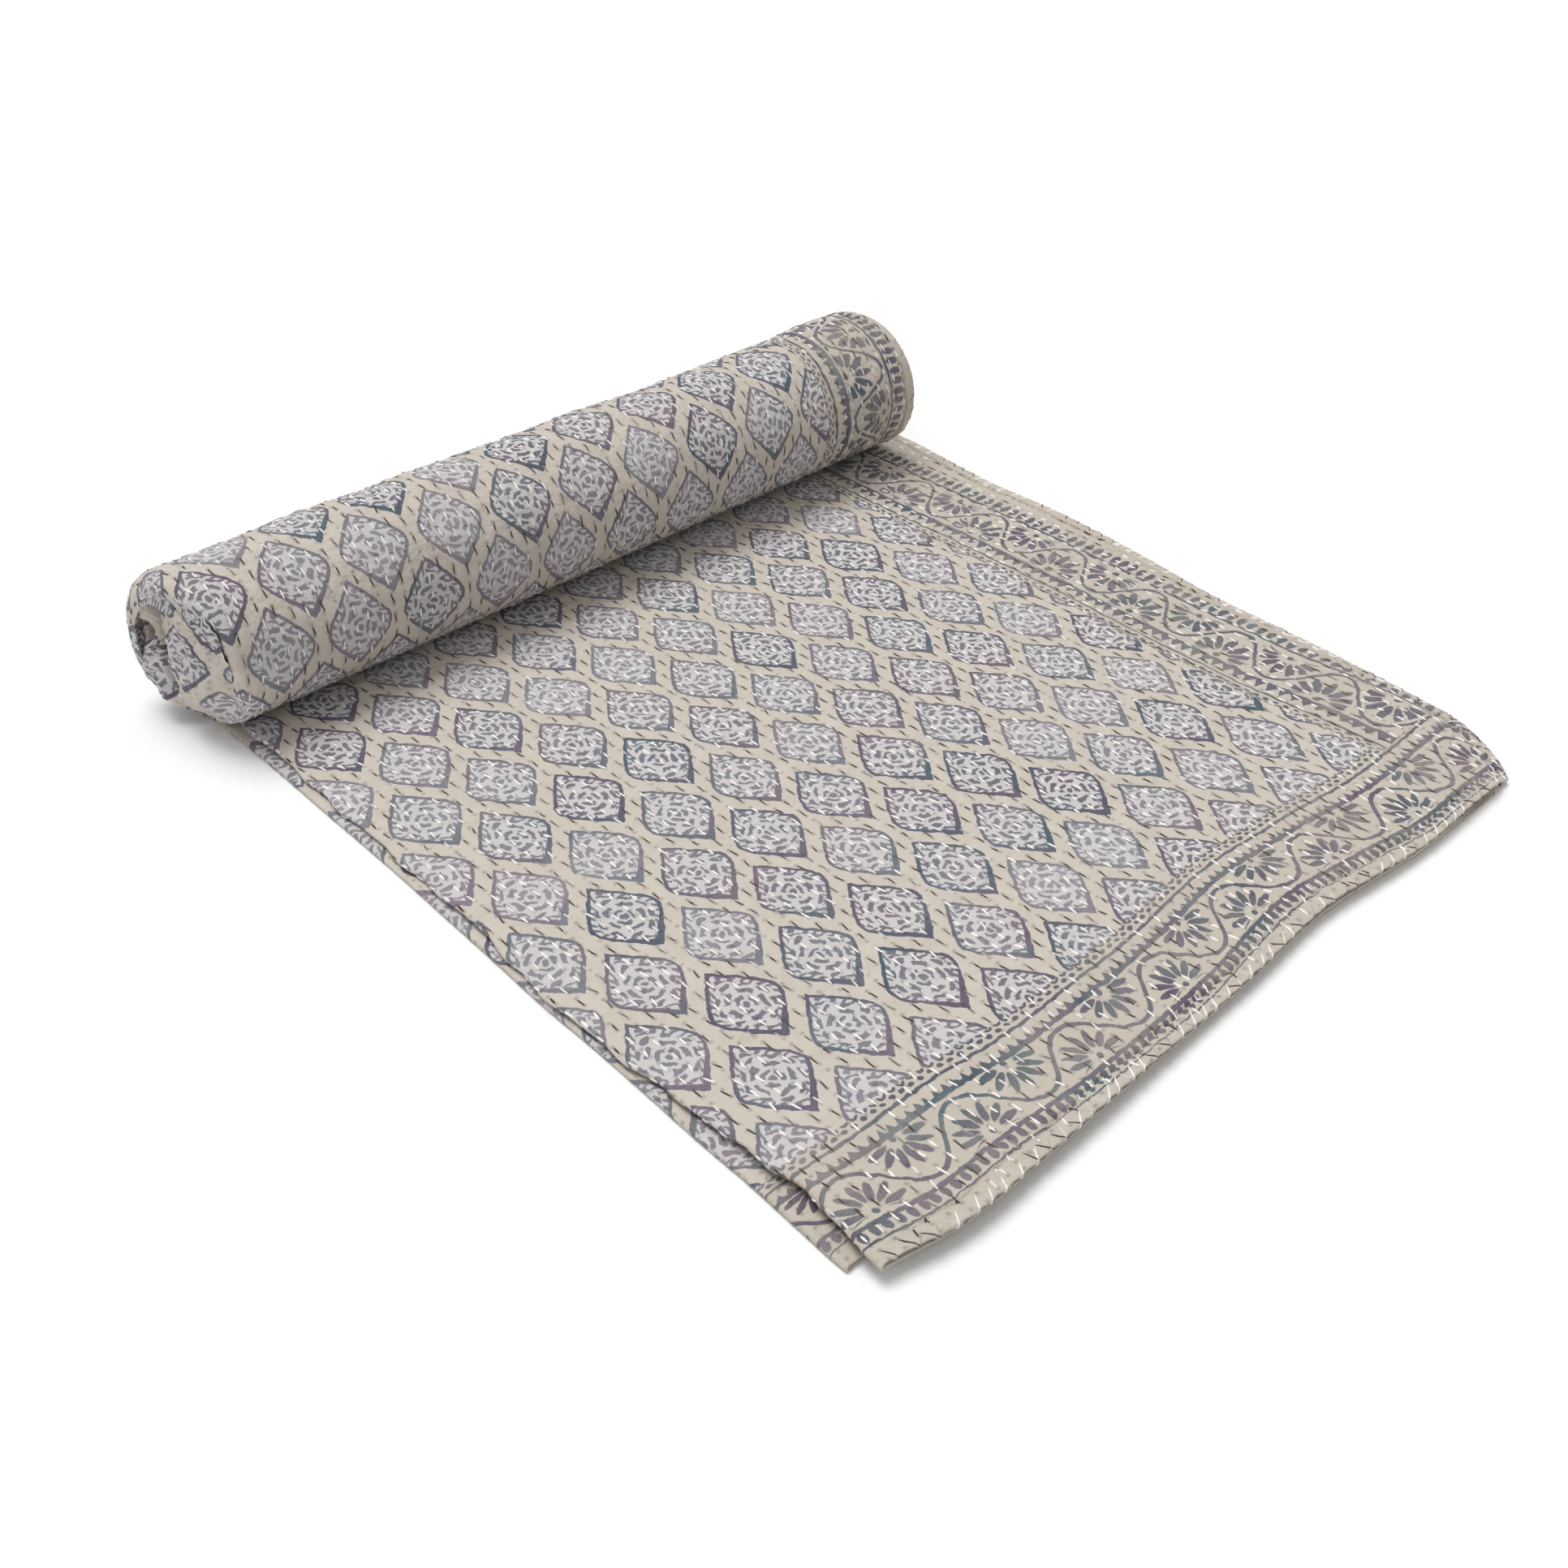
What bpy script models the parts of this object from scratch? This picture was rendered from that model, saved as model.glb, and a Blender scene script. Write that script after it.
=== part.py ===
"""A kantha quilt, folded lengthways into four layers and half rolled up.

The quilt is one piece of stitched cotton. It is folded back and forth three times, like a W on
its side, so that its printed face is outside at the top and at the bottom. The near half of the
folded length lies flat. The far half is rolled up towards the front and rests on the flat half.

Metres, +Z up. X runs across the folded width, with the folds at -X and the hems at +X. Y runs
along the length, from the front hem to the roll. The origin is the middle of the footprint, on
the surface that the quilt lies on.
"""

import math
from collections import namedtuple

import bmesh
import bpy
from mathutils import Vector

# The sheet
CLOTH = 0.0014  # two layers of cotton voile and their running stitch
HEM_CLOTH = 0.0018  # turned twice and whipped over
HEM = 0.009
LAYERS = 4

# How finely the sheet is cut up
LAYER_STEPS = 6  # across one layer
FOLD_STEPS = 4  # around one fold

# The roll
AXIS_ALONG = 0.536  # from the front hem to under the roll's axis
ROLL_RADIUS = 0.0530  # the outermost turn, where it leaves the ground
BAND = 0.0067  # four layers drawn tight
PITCH = 0.0071  # from one turn to the next
CORE_RADIUS = 0.0050
BAND_START = 0.021  # before the axis, where the four layers are drawn together
BAND_OVERLAP = 0.015  # how far the four layers run on inside the band
BAND_UNDER = 0.0001  # what the four layers are raised by, there
BAND_SIDE = 0.003  # how far the drawn-together band stands out past the folds and hems
TURN_STEPS = 24  # cuts in each turn, at the same angles in all of them
FLAT_SPOT = 0.010  # how much of its radius the roll loses underneath
FLAT_SPOT_ANGLE = 15.0
LOBE = 0.0028  # how deep the groove between two folds goes, at the ends of the roll
BULGE = 0.0008  # how far the band stands out there instead, at its start and in the core
BAND_EDGE = 0.0032  # how far in the band is rounded there
ROLL_STATIONS = (0.25, 0.5, 0.75)  # shares of the roll's width with a row of points

# The flat half, one row for each place along it. All but along, gap, lift and droop are X of an
# edge. gap lies between neighbouring layers. lift is how far the upper two stand off the lower
# two at the left, and droop how far the top layer's right hem hangs.
Section = namedtuple("Section", "along top_fold low_fold top_hem inner_fold low_hem gap lift droop")
SECTIONS = (
    Section(0.000, -0.001, -0.012, 0.535, 0.515, 0.520, 0.0012, 0.0042, 0.0040),
    Section(0.009, -0.001, -0.011, 0.545, 0.521, 0.527, 0.0012, 0.0040, 0.0045),
    Section(0.025, 0.000, -0.010, 0.557, 0.530, 0.536, 0.0012, 0.0036, 0.0048),
    Section(0.045, 0.001, -0.009, 0.567, 0.540, 0.545, 0.0011, 0.0030, 0.0048),
    Section(0.078, 0.002, -0.008, 0.573, 0.549, 0.553, 0.0010, 0.0022, 0.0044),
    Section(0.115, 0.001, -0.006, 0.575, 0.553, 0.556, 0.0009, 0.0014, 0.0036),
    Section(0.150, 0.000, -0.004, 0.576, 0.554, 0.557, 0.0009, 0.0009, 0.0028),
    Section(0.193, -0.001, -0.002, 0.576, 0.557, 0.559, 0.0009, 0.0006, 0.0020),
    Section(0.232, -0.001, -0.001, 0.577, 0.560, 0.561, 0.0008, 0.0004, 0.0014),
    Section(0.262, 0.004, 0.001, 0.580, 0.563, 0.563, 0.0008, 0.0003, 0.0010),
    Section(0.313, 0.008, 0.004, 0.585, 0.569, 0.568, 0.0008, 0.0002, 0.0006),
    Section(0.357, 0.010, 0.006, 0.589, 0.573, 0.571, 0.0007, 0.0002, 0.0004),
    Section(0.425, 0.013, 0.009, 0.588, 0.575, 0.573, 0.0006, 0.0001, 0.0002),
    Section(0.475, 0.016, 0.010, 0.591, 0.575, 0.573, 0.0004, 0.0000, 0.0000),
    Section(0.505, 0.018, 0.011, 0.592, 0.576, 0.574, 0.0003, 0.0000, 0.0000),
    Section(AXIS_ALONG - BAND_START + BAND_OVERLAP, 0.018, 0.012, 0.592, 0.576, 0.574, 0.0003, 0, 0),
)

# The front hem, one row for each place across it. top is how far the top layer's hem runs in
# behind the line that the lengths are measured from, and low the same for the lower two layers.
Front = namedtuple("Front", "across top low")
FRONTS = (
    Front(-0.012, 0.007, 0.017),
    Front(0.000, 0.006, 0.019),
    Front(0.030, 0.000, 0.017),
    Front(0.100, -0.001, 0.013),
    Front(0.180, 0.000, 0.011),
    Front(0.270, 0.001, 0.009),
    Front(0.350, 0.003, 0.005),
    Front(0.385, -0.001, 0.002),
    Front(0.430, -0.006, -0.004),
    Front(0.500, -0.007, -0.007),
)
FRONT_REACH = 0.110  # where the front hem's line no longer shows in the sheet

# The roll's ends, one row for each place along its winding, counted in turns from the outside
Turn = namedtuple("Turn", "turn left right")
TURNS = (
    Turn(0.00, 0.010, 0.592),
    Turn(0.12, 0.006, 0.585),
    Turn(0.30, -0.002, 0.571),
    Turn(0.50, -0.003, 0.566),
    Turn(0.75, -0.002, 0.566),
    Turn(1.00, 0.006, 0.566),
    Turn(1.50, 0.007, 0.563),
    Turn(2.20, 0.002, 0.560),
    Turn(2.90, 0.012, 0.564),
    Turn(3.60, 0.006, 0.561),
    Turn(4.40, 0.014, 0.557),
    Turn(5.20, 0.010, 0.560),
    Turn(6.60, 0.019, 0.556),
)

# Slow waves of the flat layers and of the roll: height, length across, length along, start
Wave = namedtuple("Wave", "height across along start")
FLAT_WAVES = (Wave(0.0005, 0.31, 0.23, 0.4), Wave(0.0003, 0.17, -0.29, 2.1))
ROLL_WAVES = (Wave(0.010, 0.47, 0.41, 1.0), Wave(0.006, 0.26, -0.60, 2.6))
TURN_LENGTH = 0.30  # along the roll's skin, which its waves are measured in

CREAM = (0.672, 0.604, 0.509, 1.0)


def read(table, column, at):
    """A column of a table at any place, in a straight line from one row to the next."""
    rows = [(row[0], getattr(row, column)) for row in table]
    if at <= rows[0][0]:
        return rows[0][1]
    for (place, value), (next_place, next_value) in zip(rows, rows[1:]):
        if at <= next_place:
            share = (at - place) / (next_place - place)
            return value + (next_value - value) * share
    return rows[-1][1]


def ease(share):
    """0 to 1, level at both ends."""
    share = min(max(share, 0.0), 1.0)
    return share * share * (3 - 2 * share)


def waves(table, across, along):
    total = 0.0
    for wave in table:
        angle = math.tau * (across / wave.across + along / wave.along) + wave.start
        total += wave.height * math.sin(angle)
    return total


def cap(mesh, ring, pointed):
    """Closes a loop whose second half runs back along its first. A pointed one turns in a point."""
    lead = 0 if pointed else 1
    for i in range(len(ring) // 2 - lead):
        corners = (ring[i], ring[i + 1], ring[-lead - i - 1], ring[-lead - i])
        mesh.faces.new(tuple(dict.fromkeys(corners)))


def loft(name, loops, pointed):
    """A closed body through loops of equally many points, capped at both ends."""
    mesh = bmesh.new()
    rings = [[mesh.verts.new(point) for point in loop] for loop in loops]
    for ring, next_ring in zip(rings, rings[1:]):
        for i, corner in enumerate(ring):
            mesh.faces.new((ring[i - 1], corner, next_ring[i], next_ring[i - 1]))
    cap(mesh, rings[0], pointed)
    cap(mesh, rings[-1], pointed)
    bmesh.ops.recalc_face_normals(mesh, faces=mesh.faces)
    data = bpy.data.meshes.new(name)
    mesh.to_mesh(data)
    mesh.free()
    return bpy.data.objects.new(name, data)


# The flat half


def layer_edges(section):
    """Where each layer starts at the left and ends at the right, from the lowest layer up."""
    return (
        (section.low_fold, section.low_hem),
        (section.low_fold, section.inner_fold),
        (section.top_fold, section.inner_fold),
        (section.top_fold, section.top_hem),
    )


def layer_height(layer, section, across):
    """The middle of a layer above the ground. The lowest one lies flat."""
    height = CLOTH / 2 + layer * (CLOTH + section.gap)
    if section.along > AXIS_ALONG - BAND_START - HEM:
        height += BAND_UNDER
    if layer == 0:
        return height
    width = section.inner_fold - section.top_fold
    from_left = (across - section.top_fold) / width
    if layer >= 2:
        height += section.lift * (1 - ease(from_left / 0.8))
    calm = section.gap / SECTIONS[0].gap
    height += calm * (layer / (LAYERS - 1)) ** 2 * waves(FLAT_WAVES, across, section.along)
    if layer == LAYERS - 1:
        overhang = section.top_hem - section.inner_fold
        height -= section.droop * ease((across - section.inner_fold) / overhang)
    return height


def layer_points(layer, section, radius_left, radius_right):
    """(x, z) along the middle of one layer, from left to right, between its folds."""
    left, right = layer_edges(section)[layer]
    left += radius_left
    right -= radius_right
    tail = []
    if layer == LAYERS - 1:
        tail = [section.inner_fold, right - HEM, right]
    elif layer == 0:
        tail = [right - 2 * HEM, right - HEM, right]
    end = tail.pop(0) if tail else right
    steps = LAYER_STEPS - len(tail)
    across = [left + (end - left) * step / steps for step in range(steps + 1)] + tail
    return [(x, layer_height(layer, section, x)) for x in across]


def fold_points(start, end, side):
    """Points around a fold, between the ends of two layers. side is -1 at the left."""
    middle = (start[1] + end[1]) / 2
    radius = (end[1] - start[1]) / 2
    points = []
    for step in range(1, FOLD_STEPS):
        angle = math.pi * step / FOLD_STEPS
        lean = start[0] + (end[0] - start[0]) * step / FOLD_STEPS
        points.append((lean + side * radius * math.sin(angle), middle - radius * math.cos(angle)))
    return points


def fold_radius(layer, section, across):
    """Half the distance between a layer's middle and the next one's, where they are folded."""
    return (layer_height(layer + 1, section, across) - layer_height(layer, section, across)) / 2


def sheet_middle(section):
    """(x, z, layer) along the sheet's middle, from the lowest layer's hem to the top one's."""
    half = CLOTH / 2
    low = fold_radius(0, section, section.low_fold) + half
    inner = fold_radius(1, section, section.inner_fold) + half
    top = fold_radius(2, section, section.top_fold) + half
    layers = (
        layer_points(0, section, low, 0)[::-1],
        layer_points(1, section, low, inner),
        layer_points(2, section, top, inner)[::-1],
        layer_points(3, section, top, 0),
    )
    middle = []
    for layer, points in enumerate(layers):
        if layer:
            side = 1 if layer == 2 else -1
            turn = fold_points(middle[-1][:2], points[0], side)
            middle += [(x, z, layer - 0.5) for x, z in turn]
        middle += [(x, z, layer) for x, z in points]
    return middle


def front_hem(layer, across):
    """How far behind the measuring line the front hem lies, in any layer."""
    low = read(FRONTS, "low", across)
    top = read(FRONTS, "top", across)
    return low + (top - low) * ease(layer - 1)


def cloth_at(layer, section, across):
    """The sheet's thickness, which is more along its hems."""
    hem = section.low_hem if layer == 0 else section.top_hem
    at_side = layer in (0, LAYERS - 1) and across > hem - HEM
    if section.along < HEM or at_side:
        return CLOTH + (HEM_CLOTH - CLOTH) * section.gap / SECTIONS[0].gap
    return CLOTH


def sheet_loop(section):
    """The folded sheet's outline at one place along it, as points in space."""
    middle = sheet_middle(section)
    one_side, other_side = [], []
    for i, (x, z, layer) in enumerate(middle):
        before, after = middle[max(i - 1, 0)], middle[min(i + 1, len(middle) - 1)]
        along = Vector((after[0] - before[0], after[1] - before[1])).normalized()
        thick = cloth_at(layer, section, x)
        offset = Vector((-along.y, along.x)) * thick / 2
        rise = thick / 2 - CLOTH / 2 if layer == 0 else 0.0
        y = section.along + front_hem(layer, x) * (1 - ease(section.along / FRONT_REACH))
        if layer == 0:
            offset = Vector((0, -thick / 2))
        one_side.append(Vector((x + offset.x, y, z + rise + offset.y)))
        other_side.append(Vector((x - offset.x, y, z + rise - offset.y)))
    return one_side + other_side[::-1]


def flat_half():
    return loft("flat_half", [sheet_loop(section) for section in SECTIONS], pointed=False)


# The rolled half


def winding():
    """The turns, counted from where the roll leaves the ground, at which it is cut up."""
    last = (ROLL_RADIUS - BAND - CORE_RADIUS) / PITCH
    return [step / TURN_STEPS for step in range(round(last * TURN_STEPS) + 1)]


def roll_point(turn, inward, across):
    """A point of the winding. inward is how far it lies inside the band's outer face."""
    angle = math.tau * turn
    radius = ROLL_RADIUS - PITCH * turn - inward
    from_below = math.degrees(math.remainder(angle, math.tau))
    squash = 1 - FLAT_SPOT * math.exp(-((from_below / FLAT_SPOT_ANGLE) ** 2))
    skin = (turn % 1) * TURN_LENGTH
    uneven = waves(ROLL_WAVES, across, skin) * ease((1 - math.cos(angle)) / 2)
    radius *= squash * (1 + uneven)
    middle = ROLL_RADIUS * (1 - FLAT_SPOT)
    return Vector((across, AXIS_ALONG + radius * math.sin(angle), middle - radius * math.cos(angle)))


def band_outline(left, right, drawn_in):
    """(x, inward) around the band of four layers: two lobes at each end, one for each fold."""
    left -= BAND_SIDE * (1 - drawn_in)
    right += BAND_SIDE * (1 - drawn_in)
    lobe = (LOBE + BULGE) * drawn_in - BULGE
    across = [left + (right - left) * share for share in ROLL_STATIONS]
    left_end = [(left + lobe, BAND * 0.5), (left, BAND * 0.25), (left + BAND_EDGE, 0.0)]
    right_end = [(right - BAND_EDGE, 0.0), (right, BAND * 0.25), (right - lobe, BAND * 0.5)]
    outer = left_end + [(x, 0.0) for x in across] + right_end
    inner = [(x, BAND - inward) for x, inward in outer[1:-1]]
    return outer + inner[::-1]


def rolled_half():
    """The band of four layers, from just before the roll to its core."""
    loops = []
    first = band_outline(TURNS[0].left, TURNS[0].right, 0.0)
    for before in (BAND_START, BAND_START / 2):
        loops.append([Vector((x, AXIS_ALONG - before, inward)) for x, inward in first])
    turns = winding()
    for turn in turns:
        drawn_in = ease(turn * 4) * ease((turns[-1] - turn) * 4)
        outline = band_outline(read(TURNS, "left", turn), read(TURNS, "right", turn), drawn_in)
        loops.append([roll_point(turn, inward, x) for x, inward in outline])
    return loft("rolled_half", loops, pointed=True)


# The whole quilt


def collection(name):
    group = bpy.data.collections.new(name)
    bpy.context.scene.collection.children.link(group)
    return group


def join(piece, tool):
    """Makes two bodies one."""
    union = piece.modifiers.new("joined to the roll", "BOOLEAN")
    union.operation = "UNION"
    union.solver = "EXACT"
    union.object = tool
    tool.hide_render = True
    tool.display_type = "WIRE"


def shift_to_middle(piece):
    """The move that puts the origin under the middle of the footprint."""
    bpy.context.view_layer.update()
    shape = piece.evaluated_get(bpy.context.evaluated_depsgraph_get())
    corners = [Vector(corner) for corner in shape.bound_box]
    low = Vector(min(corner[i] for corner in corners) for i in range(3))
    high = Vector(max(corner[i] for corner in corners) for i in range(3))
    return Vector((-(low.x + high.x) / 2, -(low.y + high.y) / 2, -low.z))


def cotton():
    material = bpy.data.materials.new("printed cotton")
    material.use_nodes = True
    surface = material.node_tree.nodes["Principled BSDF"]
    surface.inputs["Base Color"].default_value = CREAM
    surface.inputs["Roughness"].default_value = 0.9
    surface.inputs["Metallic"].default_value = 0.0
    return material


def main():
    for leftover in list(bpy.data.objects):
        bpy.data.objects.remove(leftover)
    quilt = flat_half()
    roll = rolled_half()
    quilt.name = "quilt"
    collection("kantha_quilt").objects.link(quilt)
    collection("joined").objects.link(roll)
    quilt.data.materials.append(cotton())
    join(quilt, roll)
    shift = shift_to_middle(quilt)
    quilt.location = shift
    roll.location = shift
    quilt.data.shade_smooth()


main()
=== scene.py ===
# %% [markdown]
# # A kantha quilt, folded in four and half rolled up
# A kantha quilt is two layers of thin printed cotton, held together by rows of running stitch.
# Here it is folded lengthways, back and forth three times like a W on its side. The near half of
# the folded length lies flat, and the far half is rolled up towards us and rests on it.
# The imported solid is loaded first. It stays as it is and gives the place and the size of
# everything below, and the fine cloth is laid over it.

import functools
import math
from collections import namedtuple

import bpy
import numpy as np
from mathutils import Matrix, Vector


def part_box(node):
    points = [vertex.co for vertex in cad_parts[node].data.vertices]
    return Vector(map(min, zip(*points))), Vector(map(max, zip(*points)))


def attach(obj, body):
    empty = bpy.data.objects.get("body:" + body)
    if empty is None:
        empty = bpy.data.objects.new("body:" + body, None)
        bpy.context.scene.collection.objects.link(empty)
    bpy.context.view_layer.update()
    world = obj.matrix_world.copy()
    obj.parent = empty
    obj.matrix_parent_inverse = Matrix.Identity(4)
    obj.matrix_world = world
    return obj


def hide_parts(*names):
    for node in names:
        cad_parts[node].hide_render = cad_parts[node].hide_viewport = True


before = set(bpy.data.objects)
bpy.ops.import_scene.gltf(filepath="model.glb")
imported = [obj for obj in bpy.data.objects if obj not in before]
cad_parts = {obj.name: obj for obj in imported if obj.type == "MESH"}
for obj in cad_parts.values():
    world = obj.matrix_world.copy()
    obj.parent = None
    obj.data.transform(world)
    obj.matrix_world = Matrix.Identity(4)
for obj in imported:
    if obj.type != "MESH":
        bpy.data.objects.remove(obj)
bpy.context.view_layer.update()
low_corner, high_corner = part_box("quilt")
print("the solid reaches from", tuple(low_corner), "to", tuple(high_corner))

# %% [markdown]
# ## Sizes
# Lengths are metres. Across is measured from the top layer's left fold and along from the front
# hem, because that is how a sewer would measure a folded quilt. One shift takes these places to
# the solid's own frame.

# %% The cloth and its places
MM = 1000  # millimetres in a metre
CLOTH_WIDTH = 2.28
CLOTH = 0.0014  # two layers of voile and their stitching
HEM = 0.009
HEM_RADIUS = 0.0008
LOW_FOLD_STANDS_OUT = 0.0122  # how far the lowest left fold lies outside the measuring line
FRONT_STANDS_OUT = 0.0070
AXIS_ALONG = 0.536  # where the roll leaves the ground
GROUND = 0.0002

TO_FRAME = np.array(
    [low_corner.x + LOW_FOLD_STANDS_OUT, low_corner.y + FRONT_STANDS_OUT, low_corner.z]
)
print("the measuring corner lies at", TO_FRAME)

# %% [markdown]
# ## How the layers lie
# The edges of a folded quilt are never straight, and each row of these tables is one place where
# they were measured. A smooth curve through the rows gives every place between them. A spline
# object could do the same, but a short table is easier to correct.

# %% The flat half, from the front hem to under the roll
Section = namedtuple("Section", "along top_fold low_fold top_hem inner_fold low_hem gap lift droop")
SECTIONS = (  # gap parts the layers, lift raises the left folds and droop lets the top hem hang
    Section(0.000, -0.0057, -0.0107, 0.535, 0.515, 0.520, 0.0012, 0.0030, 0.0040),
    Section(0.009, -0.0040, -0.0105, 0.545, 0.521, 0.527, 0.0012, 0.0029, 0.0045),
    Section(0.025, -0.0010, -0.0095, 0.557, 0.530, 0.536, 0.0012, 0.0027, 0.0048),
    Section(0.045, 0.0010, -0.0085, 0.568, 0.540, 0.545, 0.0011, 0.0024, 0.0048),
    Section(0.078, 0.0020, -0.0070, 0.573, 0.549, 0.553, 0.0010, 0.0022, 0.0044),
    Section(0.115, 0.0010, -0.0060, 0.575, 0.553, 0.556, 0.0009, 0.0014, 0.0036),
    Section(0.150, 0.0000, -0.0040, 0.576, 0.554, 0.557, 0.0009, 0.0009, 0.0028),
    Section(0.193, -0.0005, -0.0020, 0.576, 0.557, 0.559, 0.0009, 0.0006, 0.0020),
    Section(0.232, -0.0005, -0.0010, 0.577, 0.560, 0.561, 0.0008, 0.0004, 0.0014),
    Section(0.262, 0.0045, 0.0010, 0.580, 0.563, 0.563, 0.0008, 0.0003, 0.0010),
    Section(0.313, 0.0085, 0.0040, 0.585, 0.569, 0.568, 0.0008, 0.0002, 0.0006),
    Section(0.357, 0.0105, 0.0065, 0.589, 0.573, 0.571, 0.0007, 0.0002, 0.0004),
    Section(0.425, 0.0135, 0.0090, 0.587, 0.575, 0.573, 0.0006, 0.0001, 0.0002),
    Section(0.475, 0.0165, 0.0110, 0.591, 0.575, 0.573, 0.0004, 0.0000, 0.0000),
    Section(0.505, 0.0180, 0.0115, 0.594, 0.576, 0.574, 0.0003, 0.0000, 0.0000),
    Section(0.540, 0.0180, 0.0125, 0.593, 0.576, 0.574, 0.0003, 0.0000, 0.0000),
)
print("the flat half is", SECTIONS[4].top_hem - SECTIONS[4].top_fold, "m wide near its front")

# %% The front hem: how far each hem runs in behind the measuring line
Front = namedtuple("Front", "across top low")
FRONTS = (
    Front(-0.012, 0.009, 0.022),
    Front(0.000, 0.008, 0.023),
    Front(0.030, 0.001, 0.019),
    Front(0.100, -0.001, 0.013),
    Front(0.180, 0.000, 0.011),
    Front(0.270, 0.001, 0.009),
    Front(0.350, 0.003, 0.005),
    Front(0.385, -0.001, 0.002),
    Front(0.430, -0.006, -0.004),
    Front(0.500, -0.007, -0.007),
)
FRONT_REACH = 0.110  # where the front hem's line no longer shows in the sheet
print("the front hem wanders by", max(row.top for row in FRONTS) - min(row.top for row in FRONTS), "m")

# %% The roll: its edges and its rounded left end, in turns from where it leaves the ground
Turn = namedtuple("Turn", "turn left top_fold low_hem top_hem inner_fold nose tuck")
TURNS = (  # nose is the rounding's radius, and tuck how far the cloth runs on inwards past it
    Turn(0.00, 0.0125, 0.018, 0.574, 0.593, 0.576, 0.000, 0.000),
    Turn(0.05, 0.0045, 0.019, 0.573, 0.590, 0.574, 0.004, 0.000),
    Turn(0.12, -0.005, 0.020, 0.571, 0.585, 0.572, 0.006, 0.002),
    Turn(0.25, -0.009, 0.024, 0.564, 0.572, 0.563, 0.009, 0.004),
    Turn(0.40, -0.008, 0.026, 0.557, 0.560, 0.555, 0.012, 0.006),
    Turn(0.58, -0.005, 0.026, 0.560, 0.561, 0.557, 0.014, 0.009),
    Turn(0.70, 0.001, 0.026, 0.563, 0.563, 0.559, 0.009, 0.006),
    Turn(0.80, 0.006, 0.026, 0.566, 0.564, 0.561, 0.006, 0.004),
    Turn(0.92, 0.009, 0.026, 0.568, 0.564, 0.562, 0.005, 0.003),
    Turn(1.00, 0.010, 0.026, 0.569, 0.564, 0.561, 0.005, 0.002),
    Turn(1.06, 0.012, 0.026, 0.568, 0.563, 0.560, 0.004, 0.001),
)
print("the roll is", round(TURNS[5].low_hem - TURNS[5].left, 3), "m wide on top")

# %% [markdown]
# A table is read with a cubic curve through its rows, so that no corner shows where a row ends.

# %% Helpers for reading the tables
def ease(share):
    """0 to 1, level at both ends."""
    share = np.clip(share, 0.0, 1.0)
    return share * share * (3 - 2 * share)


def read(table, column, at):
    """A column of a table at any places, on a smooth curve through its rows."""
    places = np.array([row[0] for row in table])
    values = np.array([getattr(row, column) for row in table])
    slopes = np.gradient(values, places)
    at = np.clip(at, places[0], places[-1])
    row = np.clip(np.searchsorted(places, at) - 1, 0, len(places) - 2)
    step = places[row + 1] - places[row]
    share = (at - places[row]) / step
    rise = ease(share)
    start = share * (1 - share) ** 2 * slopes[row] * step
    end = share * share * (share - 1) * slopes[row + 1] * step
    return values[row] * (1 - rise) + values[row + 1] * rise + start + end


Wave = namedtuple("Wave", "height across along start")


def waves(table, across, along):
    """Slow unevenness: a sum of long waves, each with its own direction."""
    total = 0.0
    for wave in table:
        angle = math.tau * (across / wave.across + along / wave.along) + wave.start
        total = total + wave.height * np.sin(angle)
    return total


print("half way between two rows, the top fold lies at", read(SECTIONS, "top_fold", 0.136))

# %% [markdown]
# ## One sheet through four layers
# The whole cloth is one surface. A place across it is a number from 0 to 4: its whole part is the
# layer, counted from the lowest hem, and the rest how far the layer has been crossed. Close to a
# whole number lie the folds, which are half circles, and at 0 and 4 the hems, which turn under.
# Every place gets a point in the folded sheet's cross-section. The rows along the quilt then
# only have to be stacked, flat or wound.
# Four sheets laid on each other would be simpler, but nothing would close the folds at the
# sides, and the print could not run on from one layer to the next.

# %% Places across the cloth
AROUND = 0.02  # the part of a layer's count that a fold or a hem takes at each end
HEM_TURN = 0.6  # the part of that count in which a hem turns under, the rest runs back flat
RUNS_BACK = (0.8, 1.0)  # its places in that rest
HEM_STEPS, FOLD_STEPS = 6, 8
FINE = 100  # a layer with more steps than this is one that shows
HEM_DETAIL = np.array(  # how far from a hem its strip needs rows of points of its own
    [0.0013, 0.0028, 0.0070, 0.0077, 0.0084, 0.0091, 0.0098, 0.0105, 0.0113]
)
FOLDED_WIDTH = CLOTH_WIDTH / 4
print("a layer is", FOLDED_WIDTH, "m wide")


def span(layer, steps):
    """Places across a layer. A fine one also has some where its hem strip ends."""
    share = np.linspace(0, 1, steps + 1)
    if steps > FINE:
        share = np.union1d(share, np.abs(layer / 3 - HEM_DETAIL / FOLDED_WIDTH))
    return layer + AROUND + (1 - 2 * AROUND) * share


def around(fold):
    """Places round the fold between two layers, without its ends."""
    return fold + AROUND * np.linspace(-1, 1, FOLD_STEPS + 1)[1:-1]


def hem_places():
    """Places round a turned hem and on its run back, from where it starts to turn."""
    turn = np.linspace(0, HEM_TURN, HEM_STEPS + 1)[1:]
    return AROUND * np.append(turn, RUNS_BACK)


def places_across(steps):
    """Places over all four layers, from the lowest hem to the top one."""
    parts = [AROUND - hem_places()[::-1], span(0, steps[0])]
    for layer in (1, 2, 3):
        parts += [around(layer), span(layer, steps[layer])]
    parts.append(4 - AROUND + hem_places())
    return np.concatenate(parts)


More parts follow.
